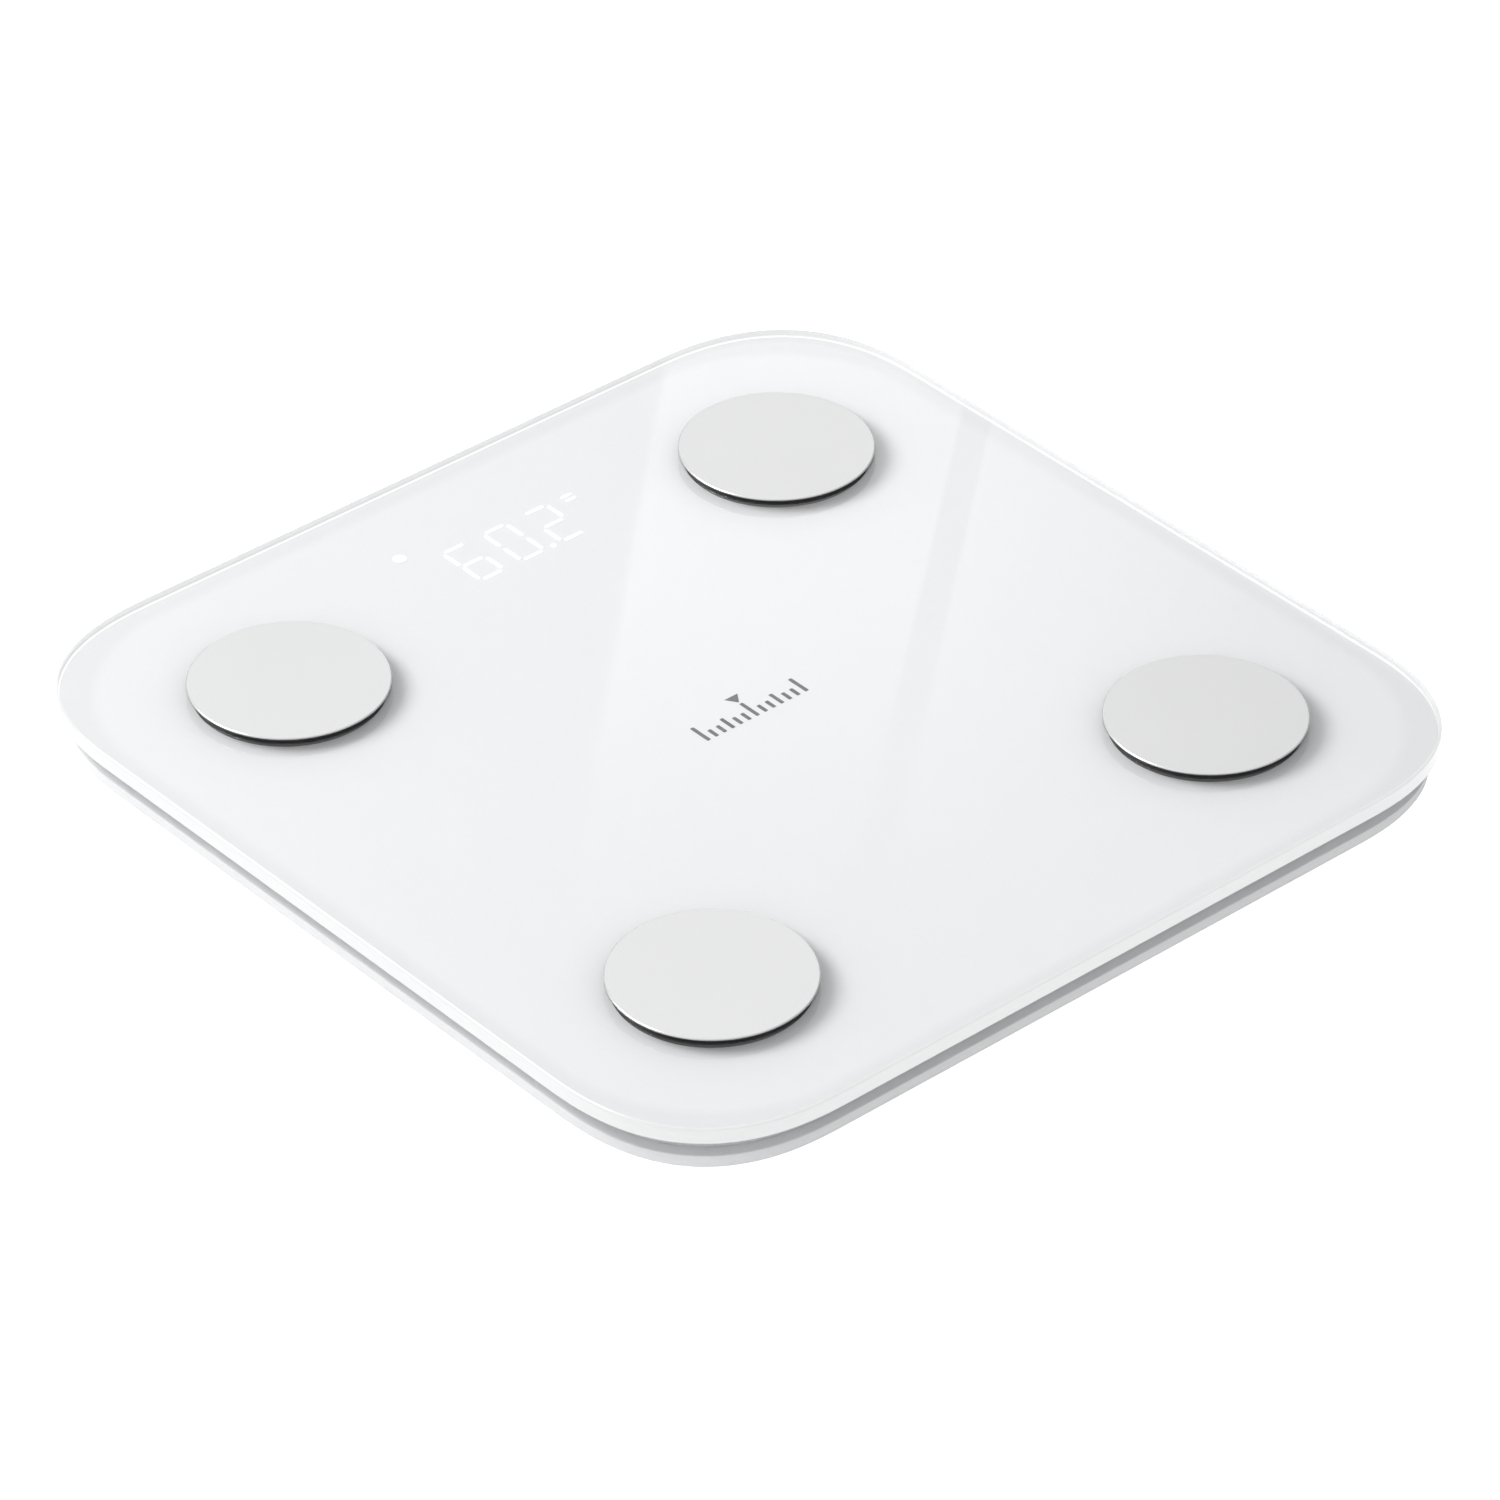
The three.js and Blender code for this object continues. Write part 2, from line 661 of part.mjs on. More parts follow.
for (const [corner, signX, signY] of CORNERS) {
  const spot = [signX * FOOT_X, signY * FOOT_Y, 0];
  addPart(`load_cell_${corner}`, loadCell(), FINISH.steel).position.set(...spot);
  addPart(`foot_${corner}`, footCup(), FINISH.foot).position.set(...spot);
  addPart(`foot_pad_${corner}`, footPad(), FINISH.rubber).position.set(...spot);
}

// ---- Batteries and contacts ------------------------------------------------------------

const leftContactX = bayLeft + REST_GAP + CONTACT_THICK / 2;
const rightContactX = bayRight - REST_GAP - CONTACT_THICK / 2;
const contactFace = bayLength / 2 - REST_GAP - CONTACT_THICK;

function cellY(index) {
  return BAY_Y + (index - (CELL_COUNT - 1) / 2) * cellPitch;
}

// One cell along X. Its flat end is at 0 and its nub points to +X.
function batteryCell() {
  const shoulder = CELL_LENGTH - CELL_NUB_LENGTH;
  const profile = [
    [0, 0], [CELL_RADIUS - EDGE, 0], [CELL_RADIUS, EDGE], [CELL_RADIUS, shoulder - EDGE],
    [CELL_RADIUS - EDGE, shoulder], [CELL_NUB_RADIUS, shoulder],
    [CELL_NUB_RADIUS, CELL_LENGTH], [0, CELL_LENGTH],
  ];
  return turned(profile, 16).rotateY(Math.PI / 2);
}

// A conical spring along X, wide at 0, which narrows towards its cell.
function batterySpring() {
  const steps = 16;
  const points = [];
  for (let step = 0; step <= steps; step += 1) {
    const share = step / steps;
    const angle = share * SPRING_TURNS * 2 * Math.PI;
    const radius = SPRING_BASE_RADIUS + share * (SPRING_TIP_RADIUS - SPRING_BASE_RADIUS);
    const along = SPRING_WIRE_RADIUS + share * (SPRING_LENGTH - 2 * SPRING_WIRE_RADIUS);
    points.push([along, radius * Math.cos(angle), radius * Math.sin(angle)]);
  }
  return wire(points, SPRING_WIRE_RADIUS, 18);
}

// Flat contacts at the bay's ends. Cells 1 and 3 point right and cell 2 points left, so one
// contact links 1 to 2 at the right, another links 2 to 3 at the left, and the other two
// are the terminals, with tails through the bay's side walls.
function contactPlate(x, fromY, toY) {
  const middle = (fromY + toY) / 2;
  return block(x, middle, CONTACT_THICK, toY - fromY, contactTop - CONTACT_HEIGHT, contactTop);
}

const contactHalf = CELL_RADIUS - 0.6;
const tailReach = bayWidth / 2 + BAY_WALL + CONTACT_TAIL;
const CONTACTS = [
  ['battery_link_right', rightContactX, cellY(0) - contactHalf, cellY(1) + contactHalf],
  ['battery_link_left', leftContactX, cellY(1) - contactHalf, cellY(2) + contactHalf],
  ['battery_terminal_negative', leftContactX, BAY_Y - tailReach, cellY(0) + contactHalf],
  ['battery_terminal_positive', rightContactX, cellY(2) - contactHalf, BAY_Y + tailReach],
];
for (const [name, x, fromY, toY] of CONTACTS) {
  addPart(name, contactPlate(x, fromY, toY), FINISH.steel);
}

for (let index = 0; index < CELL_COUNT; index += 1) {
  const pointsRight = index % 2 === 0;
  const direction = pointsRight ? 1 : -1;
  const start = -direction * (contactFace - REST_GAP);
  const cell = addPart(`battery_cell_${index + 1}`, batteryCell(), FINISH.cell);
  cell.position.set(start + direction * (SPRING_LENGTH + REST_GAP), cellY(index), cellAxisZ);
  const spring = addPart(`battery_spring_${index + 1}`, batterySpring(), FINISH.steel);
  spring.position.set(start, cellY(index), cellAxisZ);
  if (!pointsRight) {
    cell.rotation.z = Math.PI;
    spring.rotation.z = Math.PI;
  }
}

// ---- Battery cover and latch -----------------------------------------------------------

function batteryCover() {
  const width = coverRight - coverLeft;
  const outline = roundedOutline(width, 2 * coverHalfWidth, COVER_CORNER);
  const plate = slab(outline, coverBottom, coverTop);
  plate.translate((coverLeft + coverRight) / 2, BAY_Y, 0);
  const tabs = [-1, 1].map((side) => {
    const y = BAY_Y + side * TAB_OFFSET;
    return box(
      [coverLeft - TAB_LENGTH, y - TAB_WIDTH / 2, coverTop - TAB_THICK],
      [coverLeft + CUT, y + TAB_WIDTH / 2, coverTop],
    );
  });
  const cutOut = box(
    [coverRight - LATCH_LENGTH - REST_GAP, BAY_Y - latchHalfRoom, coverBottom - CUT],
    [coverRight + CUT, BAY_Y + latchHalfRoom, coverTop + CUT],
  );
  return combine(plate, tabs, [cutOut]);
}

// A pad in the cover's cut-out, and a leg with a hook that reaches up beside the catch.
function coverLatch() {
  const hookFace = coverRight - REST_GAP;
  const legFace = hookFace - LATCH_NOSE;
  const half = LATCH_WIDTH / 2;
  const pad = box(
    [coverRight - LATCH_LENGTH, BAY_Y - half, coverBottom],
    [coverRight - REST_GAP, BAY_Y + half, coverTop],
  );
  const leg = box(
    [legFace - LATCH_LEG, BAY_Y - half, coverTop - CUT],
    [legFace, BAY_Y + half, latchTop],
  );
  const nose = box(
    [legFace - LATCH_LEG / 2, BAY_Y - half, latchTop - LATCH_NOSE],
    [hookFace, BAY_Y + half, latchTop],
  );
  return combine(pad, [leg, nose], []);
}

addPart('battery_cover', batteryCover(), FINISH.base);
addPart('cover_latch', coverLatch(), FINISH.base);

// ---- Boards and switch -----------------------------------------------------------------

function mainBoard() {
  const board = block(0, BOARD_Y, BOARD_WIDTH, BOARD_DEPTH, boardBottom, boardTop);
  const hole = disc(SCREW_X, BOARD_Y, bossBore, boardBottom - CUT, boardTop + CUT, SMALL_SIDES);
  return combine(board, [], [hole]);
}

const headBottom = boardTop + REST_GAP;

function boardScrew() {
  const tip = headBottom - SCREW_LENGTH;
  const headTop = headBottom + SCREW_HEAD_THICK;
  return turned([
    [0, tip - SCREW_RADIUS], [SCREW_RADIUS, tip], [SCREW_RADIUS, headBottom],
    [SCREW_HEAD_RADIUS, headBottom], [SCREW_HEAD_RADIUS, headTop - EDGE],
    [SCREW_HEAD_RADIUS - EDGE, headTop], [0, headTop],
  ], SMALL_SIDES);
}

function controllerChip() {
  const bottom = boardTop + REST_GAP;
  return block(0, BOARD_Y, CHIP_SIZE, CHIP_SIZE, bottom, bottom + CHIP_THICK);
}

const plungerBottom = buttonTop + REST_GAP;
const plungerTop = switchBottom + PLUNGER_DEPTH;

function switchBody() {
  const body = block(0, 0, SWITCH_SIZE, SWITCH_SIZE, switchBottom, switchTop);
  const boreTop = plungerTop + PLUNGER_TRAVEL + REST_GAP;
  const bore = disc(0, 0, PLUNGER_RADIUS + REST_GAP, switchBottom - CUT, boreTop, SMALL_SIDES);
  return combine(body, [], [bore]);
}

function unitButton() {
  const face = baseBottom + BUTTON_RECESS;
  const flange = BUTTON_RADIUS + BUTTON_FLANGE;
  return turned([
    [0, face], [BUTTON_RADIUS - EDGE, face], [BUTTON_RADIUS, face + EDGE],
    [BUTTON_RADIUS, buttonFlangeBottom], [flange, buttonFlangeBottom],
    [flange, buttonTop], [0, buttonTop],
  ], 24);
}

addPart('main_board', mainBoard(), FINISH.board);
addPart('board_screw', boardScrew(), FINISH.steel).position.set(SCREW_X, BOARD_Y, 0);
addPart('controller_chip', controllerChip(), FINISH.black);
addPart('unit_switch_body', switchBody(), FINISH.black).position.set(BUTTON_X, BUTTON_Y, 0);
addPart('unit_switch_plunger', disc(0, 0, PLUNGER_RADIUS, plungerBottom, plungerTop, 16),
  FINISH.steel).position.set(BUTTON_X, BUTTON_Y, 0);
addPart('unit_button', unitButton(), FINISH.button).position.set(BUTTON_X, BUTTON_Y, 0);

// ---- Display ---------------------------------------------------------------------------

const guideTop = printBottom - REST_GAP;
const housingBottom = guideTop - HOUSING_THICK;
const guidePlateTop = housingBottom - REST_GAP;
const displayBoardTop = guidePlateTop - GUIDE_PLATE - REST_GAP;
const displayBoardBottom = displayBoardTop - BOARD_THICK;
const firstDigitX = LAST_DIGIT_X - (DIGIT_COUNT - 1) * DIGIT_PITCH;
const unitX = LAST_DIGIT_X + DIGIT_PITCH * 0.75;
const displayLeft = firstDigitX - DIGIT_WIDTH / 2 - DISPLAY_MARGIN;
const displayRight = unitX + DISPLAY_MARGIN + 2;
const displayBack = SIGN_Y + DISPLAY_MARGIN;
const displayFront = DIGIT_Y - DIGIT_HEIGHT / 2 - DISPLAY_MARGIN;
const displayWidth = displayRight - displayLeft;
const displayX = (displayLeft + displayRight) / 2;
const displayY = (displayBack + displayFront) / 2;

// A pointed bar, centred on a point, along X or along Y.
function segmentOutline(x, y, length, alongX, grow) {
  const half = length / 2 - DIGIT_STROKE * 0.25 + grow;
  const width = DIGIT_STROKE / 2 + grow;
  const shoulder = half - width;
  const along = [half, shoulder, -shoulder, -half, -shoulder, shoulder];
  const across = [0, width, width, 0, -width, -width];
  const points = along.map((value, corner) => (alongX
    ? new THREE.Vector2(x + value, y + across[corner])
    : new THREE.Vector2(x - across[corner], y + value)));
  return new THREE.Shape(points);
}

// The seven bars of one digit, as [x, y, length, alongX].
function digitBars(x) {
  const bars = [];
  for (const level of [-1, 0, 1]) {
    bars.push([x, DIGIT_Y + (level * DIGIT_HEIGHT) / 2, DIGIT_WIDTH, true]);
  }
  for (const side of [-1, 1]) {
    for (const level of [-1, 1]) {
      const y = DIGIT_Y + (level * DIGIT_HEIGHT) / 4;
      bars.push([x + (side * DIGIT_WIDTH) / 2, y, DIGIT_HEIGHT / 2, false]);
    }
  }
  return bars;
}

// Every lit shape as a prism between two heights, grown by `grow` all round.
function litShapes(grow, bottom, top) {
  const shapes = [];
  for (let digit = 0; digit < DIGIT_COUNT; digit += 1) {
    for (const [x, y, length, alongX] of digitBars(firstDigitX + digit * DIGIT_PITCH)) {
      shapes.push(slab(segmentOutline(x, y, length, alongX, grow), bottom, top));
    }
  }
  const pointX = LAST_DIGIT_X - DIGIT_PITCH / 2;
  const pointY = DIGIT_Y - DIGIT_HEIGHT / 2;
  shapes.push(disc(pointX, pointY, POINT_RADIUS + grow, bottom, top, 10));
  shapes.push(disc(unitX, UNIT_Y, 2 + grow, bottom, top, 12));
  shapes.push(disc(firstDigitX, SIGN_Y, 2 + grow, bottom, top, 12));
  return shapes;
}

function lightGuide() {
  const bottom = guidePlateTop - GUIDE_PLATE;
  const inset = 2;
  const plate = box(
    [displayLeft + inset, displayFront + inset, bottom],
    [displayRight - inset, displayBack - inset, guidePlateTop],
  );
  return combine(plate, litShapes(0, bottom + GUIDE_PLATE / 2, guideTop), []);
}

function displayHousing() {
  const frame = box([displayLeft, displayFront, housingBottom],
    [displayRight, displayBack, guideTop]);
  return combine(frame, [], litShapes(REST_GAP, housingBottom - CUT, guideTop + CUT));
}

function displayBoard() {
  return box([displayLeft, displayFront, displayBoardBottom],
    [displayRight, displayBack, displayBoardTop]);
}

addPart('display_housing', displayHousing(), FINISH.guide);
addPart('display_light_guide', lightGuide(), FINISH.guide);
addPart('display_board', displayBoard(), FINISH.board);
addPart('base_shell', baseShell(), FINISH.base);

// ---- Wires -----------------------------------------------------------------------------

const boardEdge = BOARD_WIDTH / 2 + REST_GAP;
const boardMiddle = (boardBottom + boardTop) / 2;
const wireBed = floorTop + REST_GAP + 2 * WIRE_RADIUS;

// From a load cell's inner edge, out of its pocket and over to the main board.
function loadCellWire(signX, signY) {
  const start = FOOT_X - LOAD_CELL_SIZE / 2 - REST_GAP;
  const outside = FOOT_X - pocketRadius - POCKET_WALL - 4;
  const points = [
    [start, signY * FOOT_Y, wireNotchZ],
    [(start + outside) / 2, signY * FOOT_Y, wireNotchZ],
    [outside, signY * FOOT_Y, wireNotchZ],
  ];
  if (signY > 0) points.push([66, 88, wireBed], [54, BOARD_Y + 12, wireBed + 2]);
  else points.push([74, -86, wireBed], [66, -20, wireBed], [54, BOARD_Y - 8, wireBed + 2]);
  const endY = signY > 0 ? BOARD_Y + 6 : BOARD_Y - 2;
  points.push([boardEdge + 6, endY, boardMiddle], [boardEdge, endY, boardMiddle]);
  return wire(points.map(([x, y, z]) => [signX * x, y, z]), WIRE_RADIUS, signY > 0 ? 12 : 18);
}

// From an electrode's nut to the main board.
function electrodeWire(signX, signY) {
  const height = nutTop - NUT_THICK / 2;
  const start = ELECTRODE_X - NUT_ACROSS_FLATS / 2 - REST_GAP;
  const points = [
    [start, signY * ELECTRODE_Y, height],
    [start - 5, signY * ELECTRODE_Y, height - 1],
  ];
  if (signY > 0) points.push([68, 80, wireBed + 3.5]);
  else points.push([62, -62, wireBed], [56, -10, wireBed], [50, BOARD_Y - 14, wireBed + 2]);
  const endY = signY > 0 ? BOARD_Y + 14 : BOARD_Y - 8;
  points.push([boardEdge + 6, endY, boardMiddle], [boardEdge, endY, boardMiddle]);
  return wire(points.map(([x, y, z]) => [signX * x, y, z]), WIRE_RADIUS, signY > 0 ? 10 : 18);
}

// From a battery terminal's tail to the main board.
function batteryWire(side) {
  const x = side * (contactFace + CONTACT_THICK + REST_GAP);
  const tailY = BAY_Y + side * (tailReach - CONTACT_TAIL / 2);
  const endY = BOARD_Y - 14;
  const points = [
    [x, tailY, cellAxisZ],
    [x + side * 6, tailY, cellAxisZ],
    [side * 42, BAY_Y + 26, wireBed + 1],
    [side * (boardEdge + 6), endY, boardMiddle],
    [side * boardEdge, endY, boardMiddle],
  ];
  if (side < 0) points.splice(2, 0, [-42, BAY_Y - 8, wireBed]);
  return wire(points, WIRE_RADIUS, 14);
}

// A flat cable from the main board's far edge to the display board's near edge.
function displayRibbon() {
  const from = BOARD_Y + BOARD_DEPTH / 2 + REST_GAP;
  const to = displayFront - REST_GAP;
  const low = (displayBoardBottom + displayBoardTop - RIBBON_THICK) / 2;
  const high = boardMiddle + RIBBON_THICK / 2;
  const outline = new THREE.Shape([
    new THREE.Vector2(from, high - RIBBON_THICK),
    new THREE.Vector2(to, low),
    new THREE.Vector2(to, low + RIBBON_THICK),
    new THREE.Vector2(from, high),
  ]);
  const ribbon = slab(outline, -RIBBON_WIDTH / 2, RIBBON_WIDTH / 2);
  return ribbon.rotateX(Math.PI / 2).rotateZ(Math.PI / 2);
}

for (const [corner, signX, signY] of CORNERS) {
  addPart(`load_cell_wire_${corner}`, loadCellWire(signX, signY), FINISH.wire);
  addPart(`electrode_wire_${corner}`, electrodeWire(signX, signY), FINISH.wire);
}
addPart('battery_wire_negative', batteryWire(-1), FINISH.black);
addPart('battery_wire_positive', batteryWire(1), FINISH.wire);
addPart('display_ribbon', displayRibbon(), FINISH.wire);

export default scale;
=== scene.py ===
# %% [markdown]
# # A digital bathroom scale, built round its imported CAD
# The real object is a square glass platform with soft corners on a shallow white base. Four steel
# discs on the glass carry a weak current, a hidden display shines up through the white print,
# and four sprung feet stand on the floor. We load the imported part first, because every piece
# built here has to sit where the CAD says, and ride on the body the CAD gives it.

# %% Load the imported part
import json
import math

import bpy
import numpy as np
from mathutils import Matrix, Vector

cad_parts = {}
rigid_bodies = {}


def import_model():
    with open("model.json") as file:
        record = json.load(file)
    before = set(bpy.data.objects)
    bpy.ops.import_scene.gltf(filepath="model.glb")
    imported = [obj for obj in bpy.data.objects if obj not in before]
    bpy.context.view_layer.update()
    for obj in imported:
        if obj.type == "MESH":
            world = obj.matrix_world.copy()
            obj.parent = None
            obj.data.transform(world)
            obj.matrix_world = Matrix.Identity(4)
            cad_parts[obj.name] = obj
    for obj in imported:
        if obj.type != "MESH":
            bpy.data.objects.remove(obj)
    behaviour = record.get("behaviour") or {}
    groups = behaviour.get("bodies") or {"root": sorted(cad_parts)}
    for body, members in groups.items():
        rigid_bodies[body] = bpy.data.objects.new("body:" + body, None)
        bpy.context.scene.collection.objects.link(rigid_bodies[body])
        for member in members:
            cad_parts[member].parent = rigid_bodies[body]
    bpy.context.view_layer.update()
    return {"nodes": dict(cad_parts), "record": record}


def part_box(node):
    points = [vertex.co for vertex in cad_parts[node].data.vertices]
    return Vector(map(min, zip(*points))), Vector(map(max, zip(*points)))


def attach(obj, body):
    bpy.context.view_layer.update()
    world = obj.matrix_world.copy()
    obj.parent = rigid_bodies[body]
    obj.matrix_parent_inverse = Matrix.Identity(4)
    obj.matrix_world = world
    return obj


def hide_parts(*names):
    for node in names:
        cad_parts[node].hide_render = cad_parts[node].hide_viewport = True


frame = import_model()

MM = 0.001  # one millimetre in metres: shapes are worked out in millimetres


def box_mm(node):
    """A CAD node's lowest and highest corners in millimetres."""
    low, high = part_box(node)
    return np.array(low) / MM, np.array(high) / MM


def new_object(name, data):
    """An object that is linked into the scene."""
    made = bpy.data.objects.new(name, data)
    bpy.context.scene.collection.objects.link(made)
    return made


glass_low, glass_high = box_mm("glass_plate")
HALF = glass_high[0]  # half the platform's width
FACE = glass_high[2]  # height of the glass's upper face

# %% [markdown]
# ## Camera
# A product picture of a flat object is taken with a long lens from a good way off, so that its
# square stays nearly a parallelogram. The camera is set by where it aims, how far off it stands,
# its bearing and height, and a hair of roll, and its axes are worked out from those by
# trigonometry. An aim constraint would do too, but plain axes are easier to check.

# %% Place the camera
AIM = Vector((-15.05, -19.06, FACE)) * MM  # on the glass, a little nearer than its middle
BEARING = math.radians(49.114)  # the way the camera looks, turned from +X towards +Y
DIP = math.radians(35.448)  # how far it looks down
ROLL = math.radians(-0.217)
CAMERA_DISTANCE = 2.0977
LENS = 183.06

ahead = Vector((math.cos(BEARING) * math.cos(DIP), math.sin(BEARING) * math.cos(DIP),
                -math.sin(DIP)))
level = ahead.cross(Vector((0, 0, 1))).normalized()
right = level * math.cos(ROLL) + level.cross(ahead) * math.sin(ROLL)
above = right.cross(ahead)
camera_data = bpy.data.cameras.new("long_lens")
camera_data.lens, camera_data.sensor_width = LENS, 36
camera_data.clip_start, camera_data.clip_end = 0.1, 100
camera = new_object("long_lens", camera_data)
camera.matrix_world = Matrix.Translation(AIM - ahead * CAMERA_DISTANCE) @ Matrix(
    (right, above, -ahead)).transposed().to_4x4()
bpy.context.scene.camera = camera
print("camera stands at", [round(value, 3) for value in camera.matrix_world.translation])

# %% [markdown]
# ## Shapes from loops
# Nearly every piece of a scale is either turned or moulded: a stack of closed outlines that
# shrink a little where an edge is rounded. Grids made this way give clean highlights on
# rounded edges, which an extruded text or a bevelled cube gives only after more work.

# %% Grids, outlines, slabs and turned shapes
def skin(loops, capped=True):
    """Quads between neighbouring loops of points. Capped, a flat face closes each end;
    otherwise the last loop joins the first, as round a ring of tape."""
    grid = np.stack(loops)
    rows, columns = grid.shape[:2]
    row = np.arange(rows - 1 if capped else rows)[:, None]
    column = np.arange(columns)[None, :]
    up, on = (row + 1) % rows, (column + 1) % columns
    corners = [row * columns + column, row * columns + on, up * columns + on, up * columns + column]
    faces = np.stack(corners, -1).reshape(-1, 4).tolist()
    if capped:
        faces += [list(range(columns))[::-1], list(range((rows - 1) * columns, rows * columns))]
    return grid.reshape(-1, 3), faces


def soft_rectangle(half_x, half_y, corner, power=2.0, steps=8):
    """A rectangle whose corners follow |x|^power + |y|^power = corner^power, anticlockwise."""
    turn = np.linspace(0, np.pi / 2, steps + 1)
    reach = corner * np.abs(np.stack([np.cos(turn), np.sin(turn)], 1)) ** (2 / power)
    quarter = reach + [half_x - corner, half_y - corner]
    mirrored = quarter[::-1] * [-1, 1]
    return np.concatenate([quarter, mirrored, -quarter, -mirrored])


def edge_levels(bottom, top, low=0.0, high=0.0, steps=5):
    """(inset, height) pairs up a slab whose lower and upper edges are quarter rounds."""
    turn = np.linspace(0, np.pi / 2, steps + 1)
    lower = np.stack([low * (1 - np.sin(turn)), bottom + low * (1 - np.cos(turn))], 1)
    upper = np.stack([high * (1 - np.cos(turn)), top - high * (1 - np.sin(turn))], 1)
    return np.concatenate([lower if low else lower[-1:], upper if high else upper[:1]])


def slab(centre, half, corner, bottom, top, low=0.0, high=0.0, power=2.0, steps=8):
    """A soft rectangle between two heights, each level drawn in by its inset."""
    loops = []
    for inset, height in edge_levels(bottom, top, low, high):
        flat = soft_rectangle(half[0] - inset, half[1] - inset, max(corner - inset, 0.02),
                              power, steps)
        loops.append(np.column_stack([flat + centre, np.full(len(flat), height)]))
    return skin(loops)


def block(low, high, ease=0.0):
    """A box between two corners, its edges rounded by `ease`."""
    low, high = np.array(low, float), np.array(high, float)
    middle, half = (low + high) / 2, (high - low) / 2
    return slab(middle[:2], half[:2], max(ease, 0.02), low[2], high[2], ease, ease, steps=3)


def turned(profile, centre=(0.0, 0.0), sides=96, capped=True):
    """Each (radius, height) pair of the profile goes once round a vertical line."""
    angle = np.arange(sides) * 2 * np.pi / sides
    ring = np.stack([np.cos(angle), np.sin(angle)], 1)
    return skin([np.column_stack([ring * radius + centre, np.full(sides, height)])
                 for radius, height in profile], capped)


def drum(centre, radius, bottom, top, sides=64):
    """A plain upright cylinder, used for holes and posts."""
    return turned([(radius, bottom), (radius, top)], centre, sides)


def eased(corners, ease, steps=4):
    """Rounds a profile: each inner corner turns into a quadratic curve that starts and ends
    `ease` away from it, or nearer where a side is short."""
    points = np.array(corners, float)
    share = np.linspace(0, 1, steps + 1)[:, None]
    runs = [points[:1]]
    for before, here, after in zip(points[:-2], points[1:-1], points[2:]):
        ends = []
        for other in (before, after):
            length = np.linalg.norm(other - here)
            ends.append(here + (other - here) * min(ease, length / 2.2) / length)
        runs.append((1 - share) ** 2 * ends[0] + 2 * share * (1 - share) * here
                    + share ** 2 * ends[1])
    return np.concatenate(runs + [points[-1:]])


def together(shapes):
    """Several shapes as one, each with its own closed skin."""
    starts = np.cumsum([0] + [len(points) for points, _ in shapes])
    faces = [[corner + start for corner in face]
             for (_, own), start in zip(shapes, starts) for face in own]
    return np.concatenate([points for points, _ in shapes]), faces


print("a soft rectangle has", len(soft_rectangle(1, 1, 0.5)), "points")

# %% [markdown]
# ## From numbers to pieces
# A shape becomes a mesh, and a mesh becomes a piece: an object that rides on a CAD body, takes
# its finish and stands for the CAD nodes it replaces. Shading is smooth except over sharp
# edges, and a Weighted Normal modifier lets the big flat faces win, so that they stay flat
# right up to their rounded edges. Holes and pockets are cut with exact booleans, because one
# base with twenty openings is easier to read as a list of cutters than as one net of loops.

# %% Meshes, cutting and pieces
SHARP = math.radians(32)
CUT = 1.0  # how far a cutter runs past what it cuts


def to_mesh(shape, name="shape"):
    """The mesh of a shape given as (points in millimetres, faces)."""
    if isinstance(shape, bpy.types.Mesh):
        return shape
    points, faces = shape
    mesh = bpy.data.meshes.new(name)
    mesh.from_pydata((points * MM).tolist(), [], faces)
    mesh.update()
    return mesh


def carve(first, added=(), removed=()):
    """The first solid, joined to those added and then cut by those removed."""
    scene, helpers = bpy.context.scene.collection, []
    main = bpy.data.objects.new("carved", to_mesh(first))
    scene.objects.link(main)
    for operation, tools in (("UNION", added), ("DIFFERENCE", removed)):
        if tools:
            group = bpy.data.collections.new(operation)
            scene.children.link(group)
            helpers.append(group)
            for tool in tools:
                group.objects.link(bpy.data.objects.new("tool", to_mesh(tool)))
            step = main.modifiers.new(operation, "BOOLEAN")
            step.operation, step.operand_type = operation, "COLLECTION"
            step.collection, step.solver = group, "EXACT"
    seen = main.evaluated_get(bpy.context.evaluated_depsgraph_get())
    result = bpy.data.meshes.new_from_object(seen)
    for group in helpers:
        for tool in list(group.objects):
            bpy.data.objects.remove(tool)
        bpy.data.collections.remove(group)
    bpy.data.objects.remove(main)
    return result


def piece(name, shape, body, nodes, slot, finishes=None, marks=None):
    """An object made of a shape, in its slot's finish unless it is given its own. `marks` says
    which of several finishes each face takes."""
    mesh = to_mesh(shape)
    mesh.name = name
    for finish in finishes or [FINISHES[slot]]:
        mesh.materials.append(finish)
    if marks is not None:
        mesh.polygons.foreach_set("material_index", np.array(marks, np.int32))
    mesh.shade_smooth()
    mesh.set_sharp_from_angle(angle=SHARP)
    made = new_object(name, mesh)
    flat = made.modifiers.new("flat faces stay flat", "WEIGHTED_NORMAL")
    flat.keep_sharp = True
    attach(made, body)
    if nodes:
        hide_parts(*nodes)
    print(f"{name}: {len(mesh.polygons)} faces")
    return made


def face_normals(mesh):
    """The unit normals of a mesh's faces as rows of three."""
    normals = np.zeros(len(mesh.polygons) * 3)
    mesh.polygons.foreach_get("normal", normals)
    return normals.reshape(-1, 3)


# %% [markdown]
# ## Shader arithmetic
# A finish is a small sum: a base tone, plus a little noise, minus some wear. Written as nodes
# that is a web of boxes, so a socket is wrapped in a class whose + - * add the Math nodes, and
# one method makes every other node. Patterns read Object coordinates, which are metres here,
# because every piece keeps its place in its mesh.

